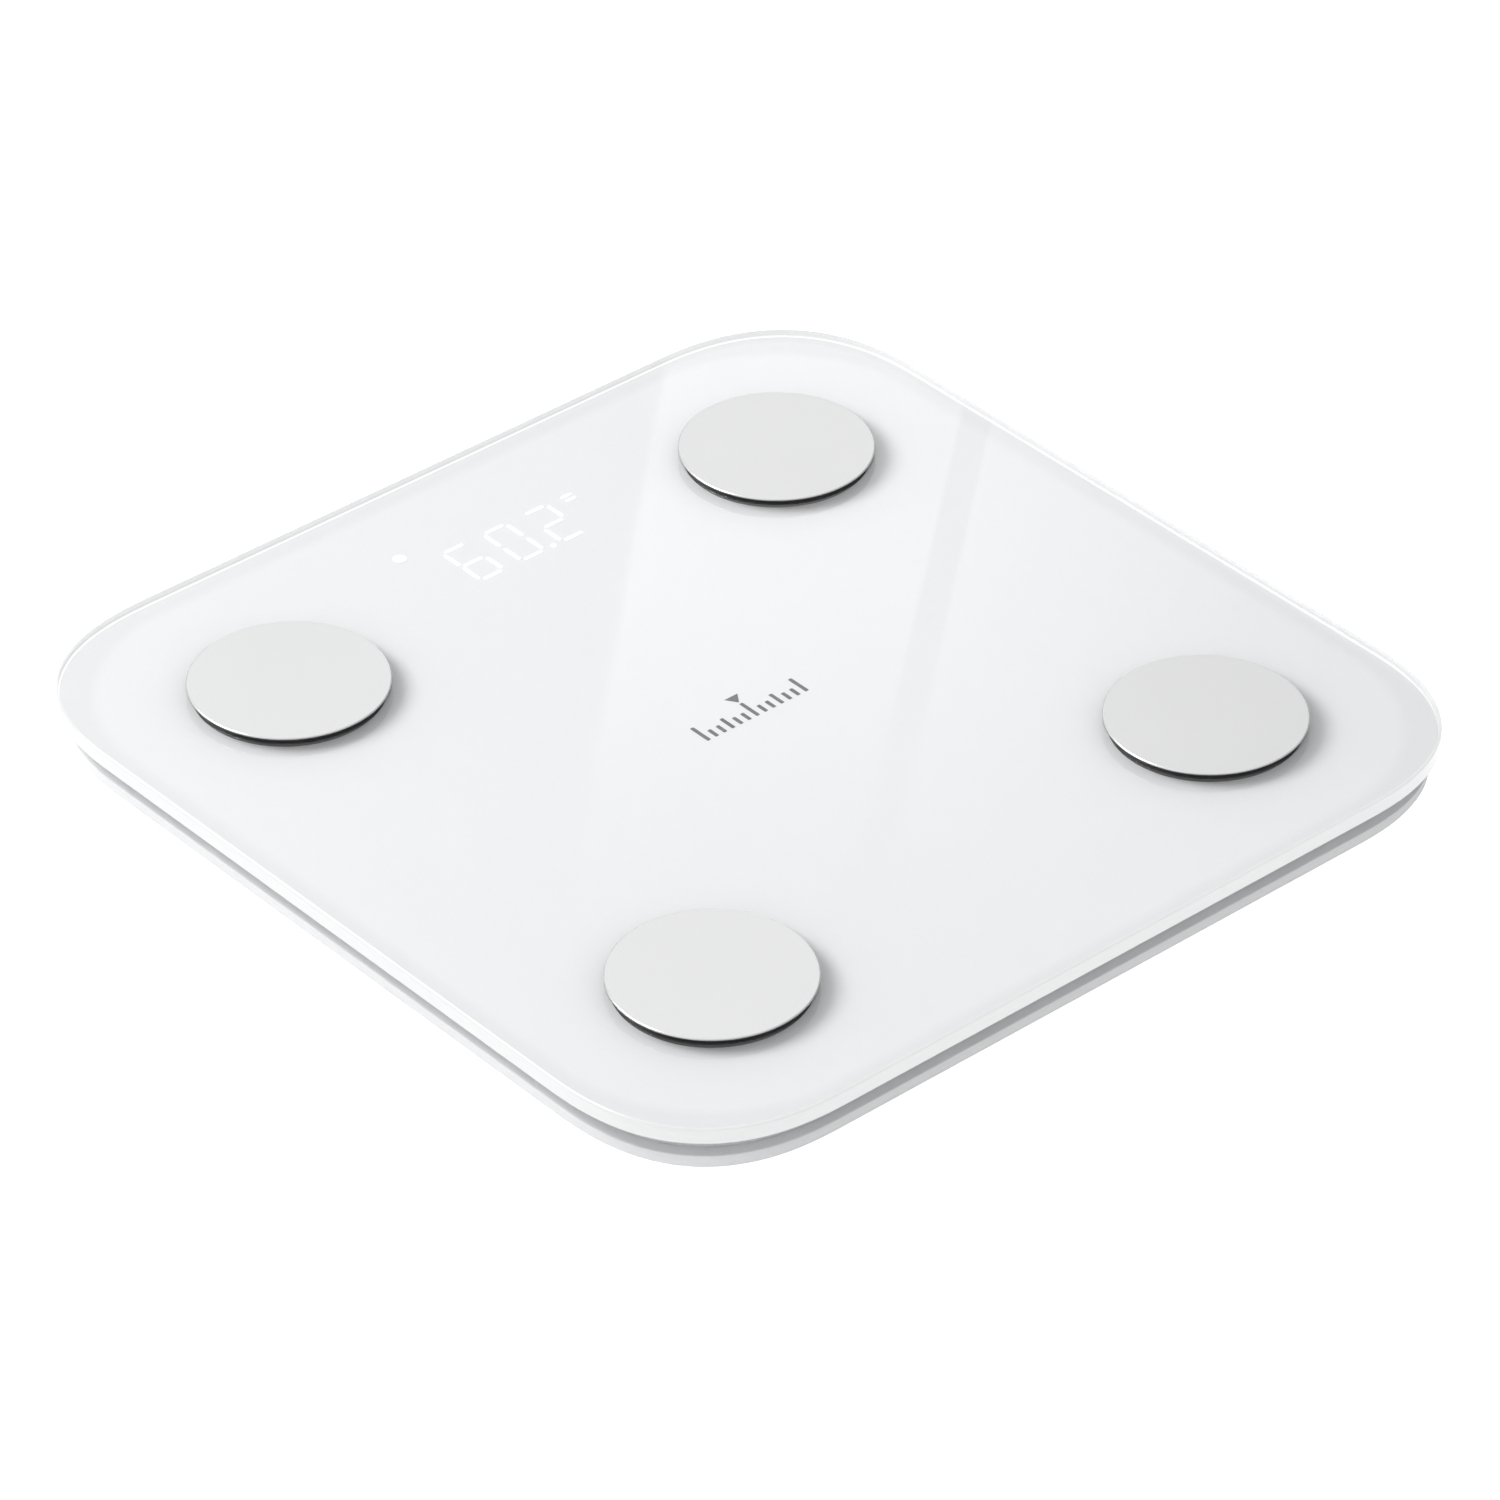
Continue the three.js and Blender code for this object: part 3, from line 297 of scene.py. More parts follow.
# %% A value that varies over a surface, and the finish it belongs to
class Value:
    """A socket with arithmetic: each operator adds one Math node."""

    def __init__(self, finish, socket):
        self.finish, self.socket = finish, socket

    def _math(self, operation, first, second):
        return self.finish.node("ShaderNodeMath", {"operation": operation}, {0: first, 1: second})

    def __add__(self, other):
        return self._math("ADD", self, other)

    def __sub__(self, other):
        return self._math("SUBTRACT", self, other)

    def __rsub__(self, other):
        return self._math("SUBTRACT", other, self)

    def __mul__(self, other):
        return self._math("MULTIPLY", self, other)

    __radd__, __rmul__ = __add__, __mul__


class Finish:
    """A material whose Principled shader takes constants by name and values by feed()."""

    def __init__(self, name, **constants):
        self.material = bpy.data.materials.new(name)
        self.material.use_nodes = True
        self.tree = self.material.node_tree
        self.shader = self.tree.nodes["Principled BSDF"]
        for key, value in constants.items():
            self.take(key.replace("_", " "), value)
        self.place = self.node("ShaderNodeTexCoord", {}, {}, "Object")

    def feed(self, node, socket, value):
        """Links a Value to a node's socket, or sets the socket to a constant."""
        if isinstance(value, Value):
            self.tree.links.new(value.socket, node.inputs[socket])
        else:
            node.inputs[socket].default_value = value

    def node(self, kind, settings, inputs, output=0):
        """Any node: its settings first, then its sockets' values or links."""
        made = self.tree.nodes.new(kind)
        for key, value in settings.items():
            setattr(made, key, value)
        for socket, value in inputs.items():
            self.feed(made, socket, value)
        return Value(self, made.outputs[output])

    def noise(self, size, detail=2.0, stretch=(1, 1, 1)):
        """Noise from 0 to 1 whose blobs are about `size` millimetres across."""
        place = self.place
        if stretch != (1, 1, 1):
            place = self.node("ShaderNodeMapping", {}, {"Vector": place, "Scale": stretch})
        return self.node("ShaderNodeTexNoise", {}, {
            "Vector": place, "Scale": 1 / (size * MM), "Detail": detail})

    def rise(self, value, low, high):
        """0 below `low`, 1 above `high` and smooth between; the other way round if low > high."""
        return self.node("ShaderNodeMapRange", {"interpolation_type": "SMOOTHSTEP"}, {
            "Value": value, "From Min": low, "From Max": high})

    @staticmethod
    def colour(given):
        """Three channels with full alpha after them; a Value stays as it is."""
        return given if isinstance(given, Value) else (*given, 1.0)

    def blend(self, share, first, second):
        """A colour between two others."""
        return self.node("ShaderNodeMix", {"data_type": "RGBA"}, {
            0: share, 6: self.colour(first), 7: self.colour(second)}, 2)

    def take(self, socket, value):
        """Feeds the finish's own shader."""
        self.feed(self.shader, socket, value)

    def tint(self, share, first, second, socket="Base Color"):
        """Feeds one of the shader's colours with a blend of two."""
        self.take(socket, self.blend(share, first, second))

    def bump(self, height, depth):
        """Feeds the normal with a height whose full swing is `depth` millimetres."""
        self.take("Normal", self.node("ShaderNodeBump", {}, {
            "Height": height, "Distance": depth * MM}))

    def let_through(self, share):
        """Mixes the shader with a clear one, which gets this share."""
        clear = self.tree.nodes.new("ShaderNodeBsdfTransparent")
        both = self.node("ShaderNodeMixShader", {}, {
            0: share, 1: Value(self, self.shader.outputs[0]), 2: Value(self, clear.outputs[0])})
        self.feed(self.tree.nodes["Material Output"], "Surface", both)


print("shader kit ready")

# %% [markdown]
# ## Moulded and metal finishes
# Most of the scale is moulded plastic or plain metal. Moulded plastic has a fine spark-eroded
# grain that breaks up its highlight, a slow drift in tone where it cooled unevenly, and hardly
# any colour. Metal has none of the drift, but its rolling or brushing leaves tiny streaks in
# roughness. Two recipes with a few numbers each give every such finish, so that they belong
# together, and the exceptions get their own cells.

# %% Recipes for plastic and metal
def shade(colour, factor):
    """A colour made darker or lighter by a factor."""
    return [min(channel * factor, 1.0) for channel in colour]


def moulded(name, colour, roughness, grain=0.35, depth=0.02, drift=0.03, **constants):
    """Plastic: `grain` is the size of its texture in millimetres and `depth` its height."""
    finish = Finish(name, **constants)
    slow, fine = finish.noise(40), finish.noise(grain, 3)
    tone = slow * 0.7 + fine * 0.3
    finish.tint(tone, shade(colour, 1 - drift), shade(colour, 1 + drift))
    finish.take("Roughness", fine * 0.12 + (roughness - 0.06))
    finish.bump(fine, depth)
    return finish.material


def metal(name, colour, roughness, streak=(1, 1, 1), grain=0.25, depth=0.004, **constants):
    """Metal: streaks of roughness, stretched along the way it was rolled or brushed."""
    finish = Finish(name, Metallic=1.0, **constants)
    fine = finish.noise(grain, 4, streak)
    finish.tint(fine, shade(colour, 0.94), shade(colour, 1.06))
    finish.take("Roughness", fine * 0.16 + (roughness - 0.08))
    finish.bump(fine, depth)
    return finish.material


FINISHES = {
    "base_plastic": moulded("satin_white_abs", (0.80, 0.805, 0.81), 0.42),
    "foot_plastic": moulded("pale_grey_abs", (0.62, 0.625, 0.635), 0.5),
    "button_plastic": moulded("mid_grey_abs", (0.42, 0.43, 0.44), 0.5),
    "black_plastic": moulded("black_nylon", (0.02, 0.02, 0.022), 0.5, drift=0.2),
    "display_plastic": moulded("reflector_white_abs", (0.85, 0.85, 0.84), 0.55),
    "light_guide": moulded("milky_acrylic", (0.88, 0.89, 0.90), 0.2, depth=0.004,
                           Transmission_Weight=0.3),
    "switch_plunger": moulded("cream_acetal", (0.75, 0.72, 0.62), 0.35, depth=0.006),
    "brass": metal("turned_brass", (0.78, 0.58, 0.26), 0.28),
    "spring_steel": metal("nickelled_spring_steel", (0.62, 0.61, 0.58), 0.3, (1, 1, 4)),
}
print(len(FINISHES), "finishes from the two recipes")

# %% [markdown]
# ## Rubber, tape, wire and circuit board
# These have a pattern of their own. Foot rubber is matt and slightly dusty, foam tape is full
# of tiny cells, a circuit board has copper tracks under green lacquer, and a wire's jacket is
# smooth with a slow wobble. Cell noise makes the foam, and a brick pattern makes the tracks,
# because both repeat irregularly in one direction and regularly in the other.

# %% Finishes with their own pattern
rubber = Finish("grey_foot_rubber", Specular_IOR_Level=0.25)
dust, pebble = rubber.noise(9, 4), rubber.noise(0.5, 3)
rubber.tint(rubber.rise(dust, 0.35, 0.75), (0.16, 0.165, 0.17), (0.25, 0.25, 0.255))
rubber.take("Roughness", dust * 0.15 + 0.72)
rubber.bump(pebble, 0.05)
FINISHES["foot_rubber"] = rubber.material

foam = Finish("grey_foam_tape", Roughness=0.85)
bubbles = foam.node("ShaderNodeTexVoronoi", {}, {"Vector": foam.place, "Scale": 3000.0})
foam.tint(bubbles, (0.045, 0.045, 0.047), (0.08, 0.08, 0.082))
foam.bump(bubbles, 0.04)
FINISHES["bonding_tape"] = foam.material

board = Finish("green_lacquered_board", Coat_Weight=0.4, Coat_Roughness=0.15)
tracks = board.node("ShaderNodeTexBrick", {"offset": 0.37, "squash": 0.6, "squash_frequency": 3}, {
    "Vector": board.place, "Scale": 150.0, "Mortar Size": 0.035, "Mortar Smooth": 0.1}, "Fac")
weave = board.noise(0.6, 2)
board.tint(tracks, (0.015, 0.13, 0.05), (0.05, 0.30, 0.12))
board.take("Roughness", weave * 0.1 + 0.35)
board.bump(tracks + weave * 0.2, 0.03)
FINISHES["circuit_board"] = board.material

jacket = Finish("red_wire_jacket")
wobble = jacket.noise(3, 2)
jacket.tint(wobble, (0.42, 0.02, 0.015), (0.55, 0.035, 0.03))
jacket.take("Roughness", wobble * 0.1 + 0.35)
jacket.bump(wobble, 0.05)
FINISHES["wire_jacket"] = jacket.material
FINISHES["contact_wire"] = metal("tinned_contact", (0.66, 0.66, 0.64), 0.26, (4, 1, 1))
print("patterned finishes ready")

# %% [markdown]
# ## Glass and print
# The platform is clear tempered glass with a white print behind it. Glass has almost no colour
# of its own; what is seen is the print, shifted a little by refraction, and a faint mirror
# image of the room. Its ground and polished edge is another matter: in real glass, light that
# went round inside comes out there, so it looks milky; here that light is painted on, as a glow
# given to the edge's finish. So the flat faces and the edge get two finishes.
# The print is matt ink with the faintest grain. A soft band along its border is painted a shade
# greyer, as painted shade where no light comes back from behind the print.

# %% Glass, its edge, and the print
CORNER = 56.4  # how much of each side the corner's rounding takes
clear = Finish("clear_tempered_glass", Transmission_Weight=1.0, IOR=1.5,
               Base_Color=(1.0, 1.0, 1.0, 1.0))
clear.take("Roughness", clear.rise(clear.noise(60, 2), 0.35, 0.9) * 0.012 + 0.004)

# The edge's emission is painted light: a glow that stands in for light carried round inside the
# glass.
edge = Finish("polished_glass_edge_painted_glow", Specular_IOR_Level=0.6, Coat_Weight=0.4,
              Emission_Color=(0.97, 0.98, 0.98, 1.0), Emission_Strength=0.56)
ground = edge.noise(2.5, 3, (0.4, 0.4, 3))
edge.tint(ground, (0.24, 0.245, 0.245), (0.32, 0.325, 0.325))
edge.take("Roughness", ground * 0.1 + 0.14)
edge.bump(ground, 0.01)

ink = Finish("white_back_print", Specular_IOR_Level=0.3)
speck, slow = ink.noise(0.4, 2), ink.noise(80, 2)
# The band of painted shade along the print's border.
SHADE_BAND_OUTER, SHADE_BAND_INNER = 4.0, 9.0  # where the band ends, drawn in from the edge
beyond = []  # how far a point lies past the middle of the corners' rounding, each way
for axis in "XY":
    place = ink.node("ShaderNodeSeparateXYZ", {}, {"Vector": ink.place}, axis)
    away = ink.node("ShaderNodeMath", {"operation": "ABSOLUTE"}, {0: place})
    beyond.append(ink.node("ShaderNodeMath", {"operation": "MAXIMUM"},
                           {0: away - (HALF - CORNER) * MM, 1: 0.0}))
reach = ink.node("ShaderNodeMath", {"operation": "SQRT"},
                 {0: beyond[0] * beyond[0] + beyond[1] * beyond[1]})
# How far into the band of painted shade a point lies: 0 inside it, 1 towards the edge.
painted_border_shade = ink.rise(reach, (CORNER - SHADE_BAND_INNER) * MM, (CORNER - SHADE_BAND_OUTER) * MM)
base_tone = ink.blend(slow, (0.785, 0.79, 0.80), (0.80, 0.803, 0.81))
# The ink is darkened by the painted border shade and, more faintly, by its own random specks.
ink.tint(painted_border_shade * 0.07 + speck * 0.03, base_tone, (0.1, 0.1, 0.1))
ink.take("Roughness", speck * 0.1 + 0.5)
FINISHES["white_print"] = ink.material
FINISHES["tempered_glass"] = clear.material
print("glass and print ready")

# %% [markdown]
# ## Glass plate
# The plate is a slab with superelliptic corners, so that the straight sides run into the
# corners with no visible joint. Its upper and lower edges are ground to a narrow flat, and four
# holes pass the electrodes' studs. The glass throws no shadow and is unseen by diffuse light,
# which is the usual cheap stand-in for light that passes through clear glass: without it the
# print behind would be lit by slow and grainy caustics only.

# %% Build the glass plate
POWER, CORNER_STEPS = 2.5, 48
GLASS_EDGE = 0.7
STUD_HOLE = 3.8
SIDES = [("toe_left", -1, 1), ("toe_right", 1, 1), ("heel_left", -1, -1), ("heel_right", 1, -1)]


def platform(inset, bottom, top, low=0.0, high=0.0):
    """The platform's outline drawn in by `inset`, between two heights."""
    half = HALF - inset
    return slab((0, 0), (half, half), CORNER - inset, bottom, top, low, high, POWER, CORNER_STEPS)


def electrode_spot(corner):
    """The plan position of an electrode's middle."""
    low, high = box_mm(f"electrode_{corner}")
    return ((low + high) / 2)[:2]


def stud_holes(bottom, top):
    """Cutters for the four studs."""
    return [drum(electrode_spot(corner), STUD_HOLE, bottom - CUT, top + CUT, 48)
            for corner, _, _ in SIDES]


glass_mesh = carve(platform(0, glass_low[2], FACE, GLASS_EDGE, GLASS_EDGE),
                   removed=stud_holes(glass_low[2], FACE))
upright = (np.abs(face_normals(glass_mesh)[:, 2]) < 0.99).astype(int)
glass = piece("glass_sheet", glass_mesh, "platform", ["glass_plate"], "tempered_glass",
              [clear.material, edge.material], upright)
glass.visible_shadow = glass.visible_diffuse = False

# %% [markdown]
# ## Print and tape
# Behind the glass lie a thin white print, drawn in from the edge, and the ring of foam tape that
# bonds the glass to the base. The print is a slab a fifth of a millimetre thick. The tape is a
# ring: four loops that close on themselves, so it needs no caps.

# %% Build the print and the tape
tape_low, tape_high = box_mm("bonding_tape")
TAPE_OUTER, TAPE_WIDTH = HALF - tape_high[0], 6.0  # drawn in from the platform's edge
TAPE_INNER = TAPE_OUTER + TAPE_WIDTH

print_low, print_high = box_mm("back_print")
print_mesh = carve(platform(HALF - print_high[0], print_low[2], print_high[2]),
                   removed=stud_holes(print_low[2], print_high[2]))
piece("print_film", print_mesh, "platform", ["back_print"], "white_print")

bands = [(TAPE_OUTER, tape_low[2]), (TAPE_OUTER, tape_high[2]),
         (TAPE_INNER, tape_high[2]), (TAPE_INNER, tape_low[2])]
tape_loops = []
for inset, height in bands:
    flat = soft_rectangle(HALF - inset, HALF - inset, CORNER - inset, POWER, CORNER_STEPS)
    tape_loops.append(np.column_stack([flat, np.full(len(flat), height)]))
piece("foam_tape_ring", skin(tape_loops, capped=False), "platform", ["bonding_tape"],
      "bonding_tape")

# %% [markdown]
# ## Lit display
# Under the print sits a lamp board with a milky guide for each bar of each digit, and the lit
# bars show through as soft white strokes. Each digit is seven bars; which of them are lit makes
# the number. A bar is a long hexagon, so one array of six corners, moved and turned for each
# bar, makes them all. The bars are thin plates just behind the glass with an emissive finish.
# The unit sign is two plain dashes and the status sign a plain dot, so no lettering is used.

# %% Build the lit bars
PITCH, DIGIT_WIDE, DIGIT_TALL, STROKE = 15.0, 8.4, 17.6, 0.95
BAR_GAP = 1.9
guide_low, guide_high = box_mm("display_light_guide")
FIRST_DIGIT = guide_low[0] + DIGIT_WIDE / 2 + 2
DIGIT_MIDDLE = guide_low[1] + DIGIT_TALL / 2 + 2
SIGN_MIDDLE = guide_high[1] - 2
LIT_LOW = print_high[2] + 0.03
LIT_HIGH = LIT_LOW + 0.12
# For each bar: middle across, middle up (in half widths and half heights), and whether it is
# upright. In order: top, upper right, lower right, bottom, lower left, upper left, middle.
BARS = [(0, 1, 0), (1, 0.5, 1), (1, -0.5, 1), (0, -1, 0), (-1, -0.5, 1), (-1, 0.5, 1), (0, 0, 0)]
LIT = {"6": "023456", "0": "012345", "2": "01346"}


def bar(x, y, length, is_upright, width=STROKE):
    """A long hexagon with softened shoulders about a point, as a thin plate."""
    half, side = length / 2, width / 2
    along = np.array([half, half - side * 0.6, -half + side * 0.6, -half,
                      -half + side * 0.6, half - side * 0.6])
    across = np.array([0, side, side, 0, -side, -side])
    flat = np.stack([-across, along] if is_upright else [along, across], 1) + [x, y]
    return skin([np.column_stack([flat, np.full(6, level)]) for level in (LIT_LOW, LIT_HIGH)])


lit_shapes = []
for place, number in ((1, "6"), (2, "0"), (3, "2")):
    middle = FIRST_DIGIT + place * PITCH
    for index in map(int, LIT[number]):
        across, up, is_upright = BARS[index]
        length = (DIGIT_TALL / 2 if is_upright else DIGIT_WIDE) - BAR_GAP
        lit_shapes.append(bar(middle + across * DIGIT_WIDE / 2,
                              DIGIT_MIDDLE + up * DIGIT_TALL / 2, length, is_upright))
point_x = FIRST_DIGIT + 2.5 * PITCH
lit_shapes.append(drum((point_x, DIGIT_MIDDLE - DIGIT_TALL / 2), 0.8, LIT_LOW, LIT_HIGH, 24))
unit_x = FIRST_DIGIT + 3.75 * PITCH
lit_shapes += [bar(unit_x + 0.4, SIGN_MIDDLE - 7.4 + lift, 3.8, 0, 0.8) for lift in (-1.1, 1.1)]

glow = Finish("lit_bar", Emission_Strength=1.0, Roughness=0.5)
flicker = glow.noise(1.2, 1)
glow.tint(flicker, (0.55, 0.56, 0.58), (0.75, 0.76, 0.78), "Emission Color")
piece("lit_digits", together(lit_shapes), "platform", (), "light_guide", [glow.material])

faint = Finish("faint_lit_sign", Emission_Strength=0.2, Roughness=0.5)
faint.tint(faint.noise(1.2, 1), (0.8, 0.82, 0.85), (0.95, 0.96, 1.0), "Emission Color")
piece("lit_sign", drum((FIRST_DIGIT, SIGN_MIDDLE), 2.1, LIT_LOW, LIT_HIGH, 40), "platform", (),
      "light_guide", [faint.material])

# %% [markdown]
# ## Centre mark
# A small dark grey mark is printed in the middle of the platform. Ours is a plain row of
# measuring ticks with a pointer above it, which says "scale" with no lettering. The ticks are
# thin plates like the lit bars, but in matt ink.

# %% Build the row of ticks
TICK_COUNT, TICK_PITCH = 13, 3.0
MARK_LOW = print_high[2] + 0.02
MARK_HIGH = MARK_LOW + 0.06


def plate(low, high, corner=0.25):
    """A thin printed rectangle between two plan corners."""
    low, high = np.array(low, float), np.array(high, float)
    return slab((low + high) / 2, (high - low) / 2, corner, MARK_LOW, MARK_HIGH, steps=4)


tick_shapes = []
for index in range(TICK_COUNT):
    x = (index - (TICK_COUNT - 1) / 2) * TICK_PITCH
    reach = 7.6 if index % 6 == 0 else 5.6 if index % 3 == 0 else 3.8
    tick_shapes.append(plate((x - 0.6, -5.4), (x + 0.6, -5.4 + reach)))
corners = np.array([[0, 2.9], [2.4, 6.4], [-2.4, 6.4]])
tick_shapes.append(skin([np.column_stack([corners, np.full(3, level)])
                         for level in (MARK_LOW, MARK_HIGH)]))
grey_ink = Finish("grey_mark_ink", Roughness=0.5)
grey_ink.tint(grey_ink.noise(4, 2), (0.06, 0.061, 0.064), (0.10, 0.101, 0.105))
piece("tick_mark", together(tick_shapes), "platform", (), "white_print", [grey_ink.material])

# %% [markdown]
# ## Electrodes
# Each electrode is a steel disc a little proud of the glass, blasted to a satin face, with a
# narrow polished bevel that catches the light and a rim beneath it painted near black, as
# painted shade. A stud goes down through the glass; behind the glass round each stud lies a dark
# ring, painted shade that darkens the line under the disc.
# One turned profile gives a disc, and each band of the profile takes its own finish.

# %% Build the electrodes
satin = Finish("satin_electrode_steel", Metallic=1.0)
blast, cloud = satin.noise(0.35, 4), satin.noise(30, 2)
satin.tint(blast * 0.5 + cloud * 0.5, (0.93, 0.93, 0.93), (0.98, 0.98, 0.98))
satin.take("Roughness", blast * 0.1 + 0.36)
satin.bump(blast, 0.003)
FINISHES["electrode_steel"] = satin.material
polished = metal("polished_bevel_steel", (0.93, 0.93, 0.93), 0.16, depth=0.001)
# The disc's rim is painted near black: painted shade standing in for the shadow and dark reflection
# on the disc's side.
painted_shade_rim = moulded("rim_painted_dark_for_shade", (0.06, 0.06, 0.063), 0.45, drift=0.15)
# A dark ring behind the glass round each stud is painted shade: it stands in for the deeper shade
# under the disc's edge.
painted_shade_ring_finish = moulded("painted_shade_dark_ring", (0.085, 0.085, 0.088), 0.6, drift=0.1)

DISC_BEVEL, STUD, SHADE_RING_INSET, DISC_SIDES = 0.4, 2.0, 1.3, 144
under = FACE + 0.3
# Finish for each band of the profile: steel, the rim painted dark as painted shade, polished bevel.
bands = [0, 0, 1, 1, 1, 2, 2, 2]  # steel, blackened, polished
marks = np.concatenate([np.repeat(bands, DISC_SIDES), [0, 0]])
for corner, _, _ in SIDES:
    low, high = box_mm(f"electrode_{corner}")
    spot, radius, top = electrode_spot(corner), (high[0] - low[0]) / 2, high[2]
    profile = [(STUD - 0.3, low[2]), (STUD, low[2] + 0.3), (STUD, under), (radius - 0.12, under),
               (radius, under + 0.12), (radius, top - DISC_BEVEL), (radius - 0.08, top - 0.22),
               (radius - 0.22, top - 0.08), (radius - DISC_BEVEL, top)]
    piece(f"electrode_disc_{corner}", turned(profile, spot, DISC_SIDES),
          "platform", [f"electrode_{corner}"], "electrode_steel",
          [satin.material, painted_shade_rim, polished], marks)
    # The ring of painted shade, from the stud's hole out to just inside the disc's edge.
    reach = radius - SHADE_RING_INSET
    pad = [(STUD_HOLE, LIT_LOW), (reach, LIT_LOW), (reach, LIT_HIGH), (STUD_HOLE, LIT_HIGH)]
    piece(f"shade_ring_behind_disc_{corner}", turned(pad, spot, DISC_SIDES, False), "platform",
          (), "black_plastic", [painted_shade_ring_finish])

# %% [markdown]
# ## Base shell: the tray
# The base is one white moulding: a tray with a rounded lower edge, a neck that steps in under
# the glass, a rim for the tape, a pocket over each foot, and a battery bay that hangs a little
# below the rest. The neck leaves a gap that stays in shadow, which could be painted on but is
# only right from every side when it is really there. We build the tray from the platform's
# outline, hollow it, add its walls and posts, and then cut its openings. The lips of the foot
# openings are rounded, since that edge is what the eye catches underneath.

# %% Build the tray, its walls and its cutters
BASE_INSET, BASE_HEIGHT, WALL, FLOOR = 2.6, 10.1, 2.0, 2.0
EDGE_ROUND, RIM_WIDTH, RIM_THICK = 4.0, 9.0, 1.6
NECK_INSET, NECK_HEIGHT, SHELF = 6.0, 4.3, 1.4
REST, RUN = 0.3, 0.4  # gaps beside resting and moving pieces
rim = tape_low[2] - REST
under = rim - BASE_HEIGHT
floor = under + FLOOR
neck_low = rim - NECK_HEIGHT

tray = carve(
    platform(BASE_INSET, under, neck_low, EDGE_ROUND, 0.35),
    added=[platform(NECK_INSET, floor, rim, 0, 0.25)],
    removed=[platform(BASE_INSET + WALL, floor, neck_low - SHELF, 0.7, 0.7),
             platform(NECK_INSET + WALL, floor, rim - RIM_THICK, 1.5, 1.5),
             platform(NECK_INSET + RIM_WIDTH, floor + FLOOR, rim + CUT)])

foot_low, foot_high = box_mm("foot_toe_right")
FOOT_SPOT = ((foot_low + foot_high) / 2)[0]
FOOT_RADIUS, POCKET = 19.0, 21.0
cell_low, cell_high = box_mm("load_cell_toe_right")
ceiling = cell_high[2] + 0.8 + REST
SEAT_X, SEAT_WIDTH = 8.7, 4.0  # half length and width of a load cell's seat


def pocket_cutter(x, y):
    """The room over a foot, less the two seats its load cell bears on."""
    reach = (cell_high[1] - cell_low[1] - SEAT_WIDTH) / 2
    seats = [block((x - SEAT_X, y + side * reach - SEAT_WIDTH / 2, cell_high[2] + REST),
                   (x + SEAT_X, y + side * reach + SEAT_WIDTH / 2, ceiling + CUT))
             for side in (-1, 1)]
    return carve(drum((x, y), POCKET, floor, ceiling, 96), removed=seats)


def lipped_hole(centre, radius, lip, top, sides=96):
    """A round hole up from the underside, its lip rounded by a quarter turn."""
    turn = np.linspace(0, np.pi / 2, 6)
    lips = np.stack([radius + lip * (1 - np.sin(turn)), under + lip * (1 - np.cos(turn))], 1)
    return turned([(radius + lip, under - CUT), *lips, (radius, top)], centre, sides)


bay_low = np.array([-25.6, -16.95])
cover_low, cover_high = box_mm("battery_cover")
COVER_LEFT, COVER_RIGHT, COVER_HALF = -27.2, 33.6, cover_high[1]
cover_middle = (COVER_LEFT + COVER_RIGHT) / 2
cover_reach = (COVER_RIGHT - COVER_LEFT) / 2
latch_low, latch_high = box_mm("cover_latch")
latch_room = latch_high[1] + RUN
bay_roof = print_low[2] - REST
display_low, display_high = box_mm("display_board")
board_low = box_mm("main_board")[0]
BOARD_MIDDLE, SCREW_X, BOSS, BORE = 60.0, -28.0, 2.9, 1.5
POST, HUMP = 2.5, 3.8  # a post's radius, and how far the hump reaches past the cover
BAY_WALL = 1.5
display_posts = [(x, (display_low[1] + display_high[1]) / 2)
                 for x in (display_low[0] + 3, display_high[0] - 3)]

added = [
    slab((cover_middle, 0), (cover_reach + HUMP, COVER_HALF + HUMP), 5.5, cover_low[2], floor, 0.9),
    block((*(bay_low - BAY_WALL), floor - CUT), (*(BAY_WALL - bay_low), bay_roof)),
    block((-bay_low[0], -latch_room - BAY_WALL, floor - CUT), (35.5, latch_room + BAY_WALL, 10.8)),
    drum((SCREW_X, BOARD_MIDDLE), BOSS, floor - CUT, board_low[2] - REST, 32),
    drum((-SCREW_X, BOARD_MIDDLE + 9), POST, floor - CUT, board_low[2] - REST, 32),
]
added += [drum(spot, POST, floor - CUT, display_low[2] - REST, 32) for spot in display_posts]
print("the underside is at", round(under, 2), "mm and the floor inside at", round(floor, 2))

# %% [markdown]
# ## Base shell: cutting its openings
# Each opening is a solid to take away: the rooms over the feet, the holes their cups slide in,
# notches for wires, the battery bay and its cover's seat, slots for the cover's hinge tabs, the
# latch's room with its finger scoop, and the unit button's hole.

# %% Cut the base shell
button_low, button_high = box_mm("unit_button")
button_spot = ((button_low + button_high) / 2)[:2]
SWEEP = math.hypot(2.2, 1.8) + RUN  # reach of a hinge tab as it swings
TAB_Y, TAB_HALF, TAB_THICK = 10, 3, 0.9
ledge = cover_high[2] + REST
removed = [
    block((*bay_low, cover_low[2]), (*-bay_low, bay_roof - 1)),
    slab((cover_middle, 0), (cover_reach + REST, COVER_HALF + REST), 2.3, cover_low[2] - CUT,
         ledge),
    block((27.1, -latch_room, cover_low[2]), (COVER_RIGHT + REST, latch_room, 9.3)),
    slab((COVER_RIGHT + 1.2, 0), (2.2, latch_high[1]), 1.6, cover_low[2] - CUT,
         cover_low[2] + 1.4, 0, 1.1),
    lipped_hole(button_spot, 4.6, 0.35, floor + CUT, 64),
    drum((SCREW_X, BOARD_MIDDLE), BORE, floor, board_low[2], 32),
]
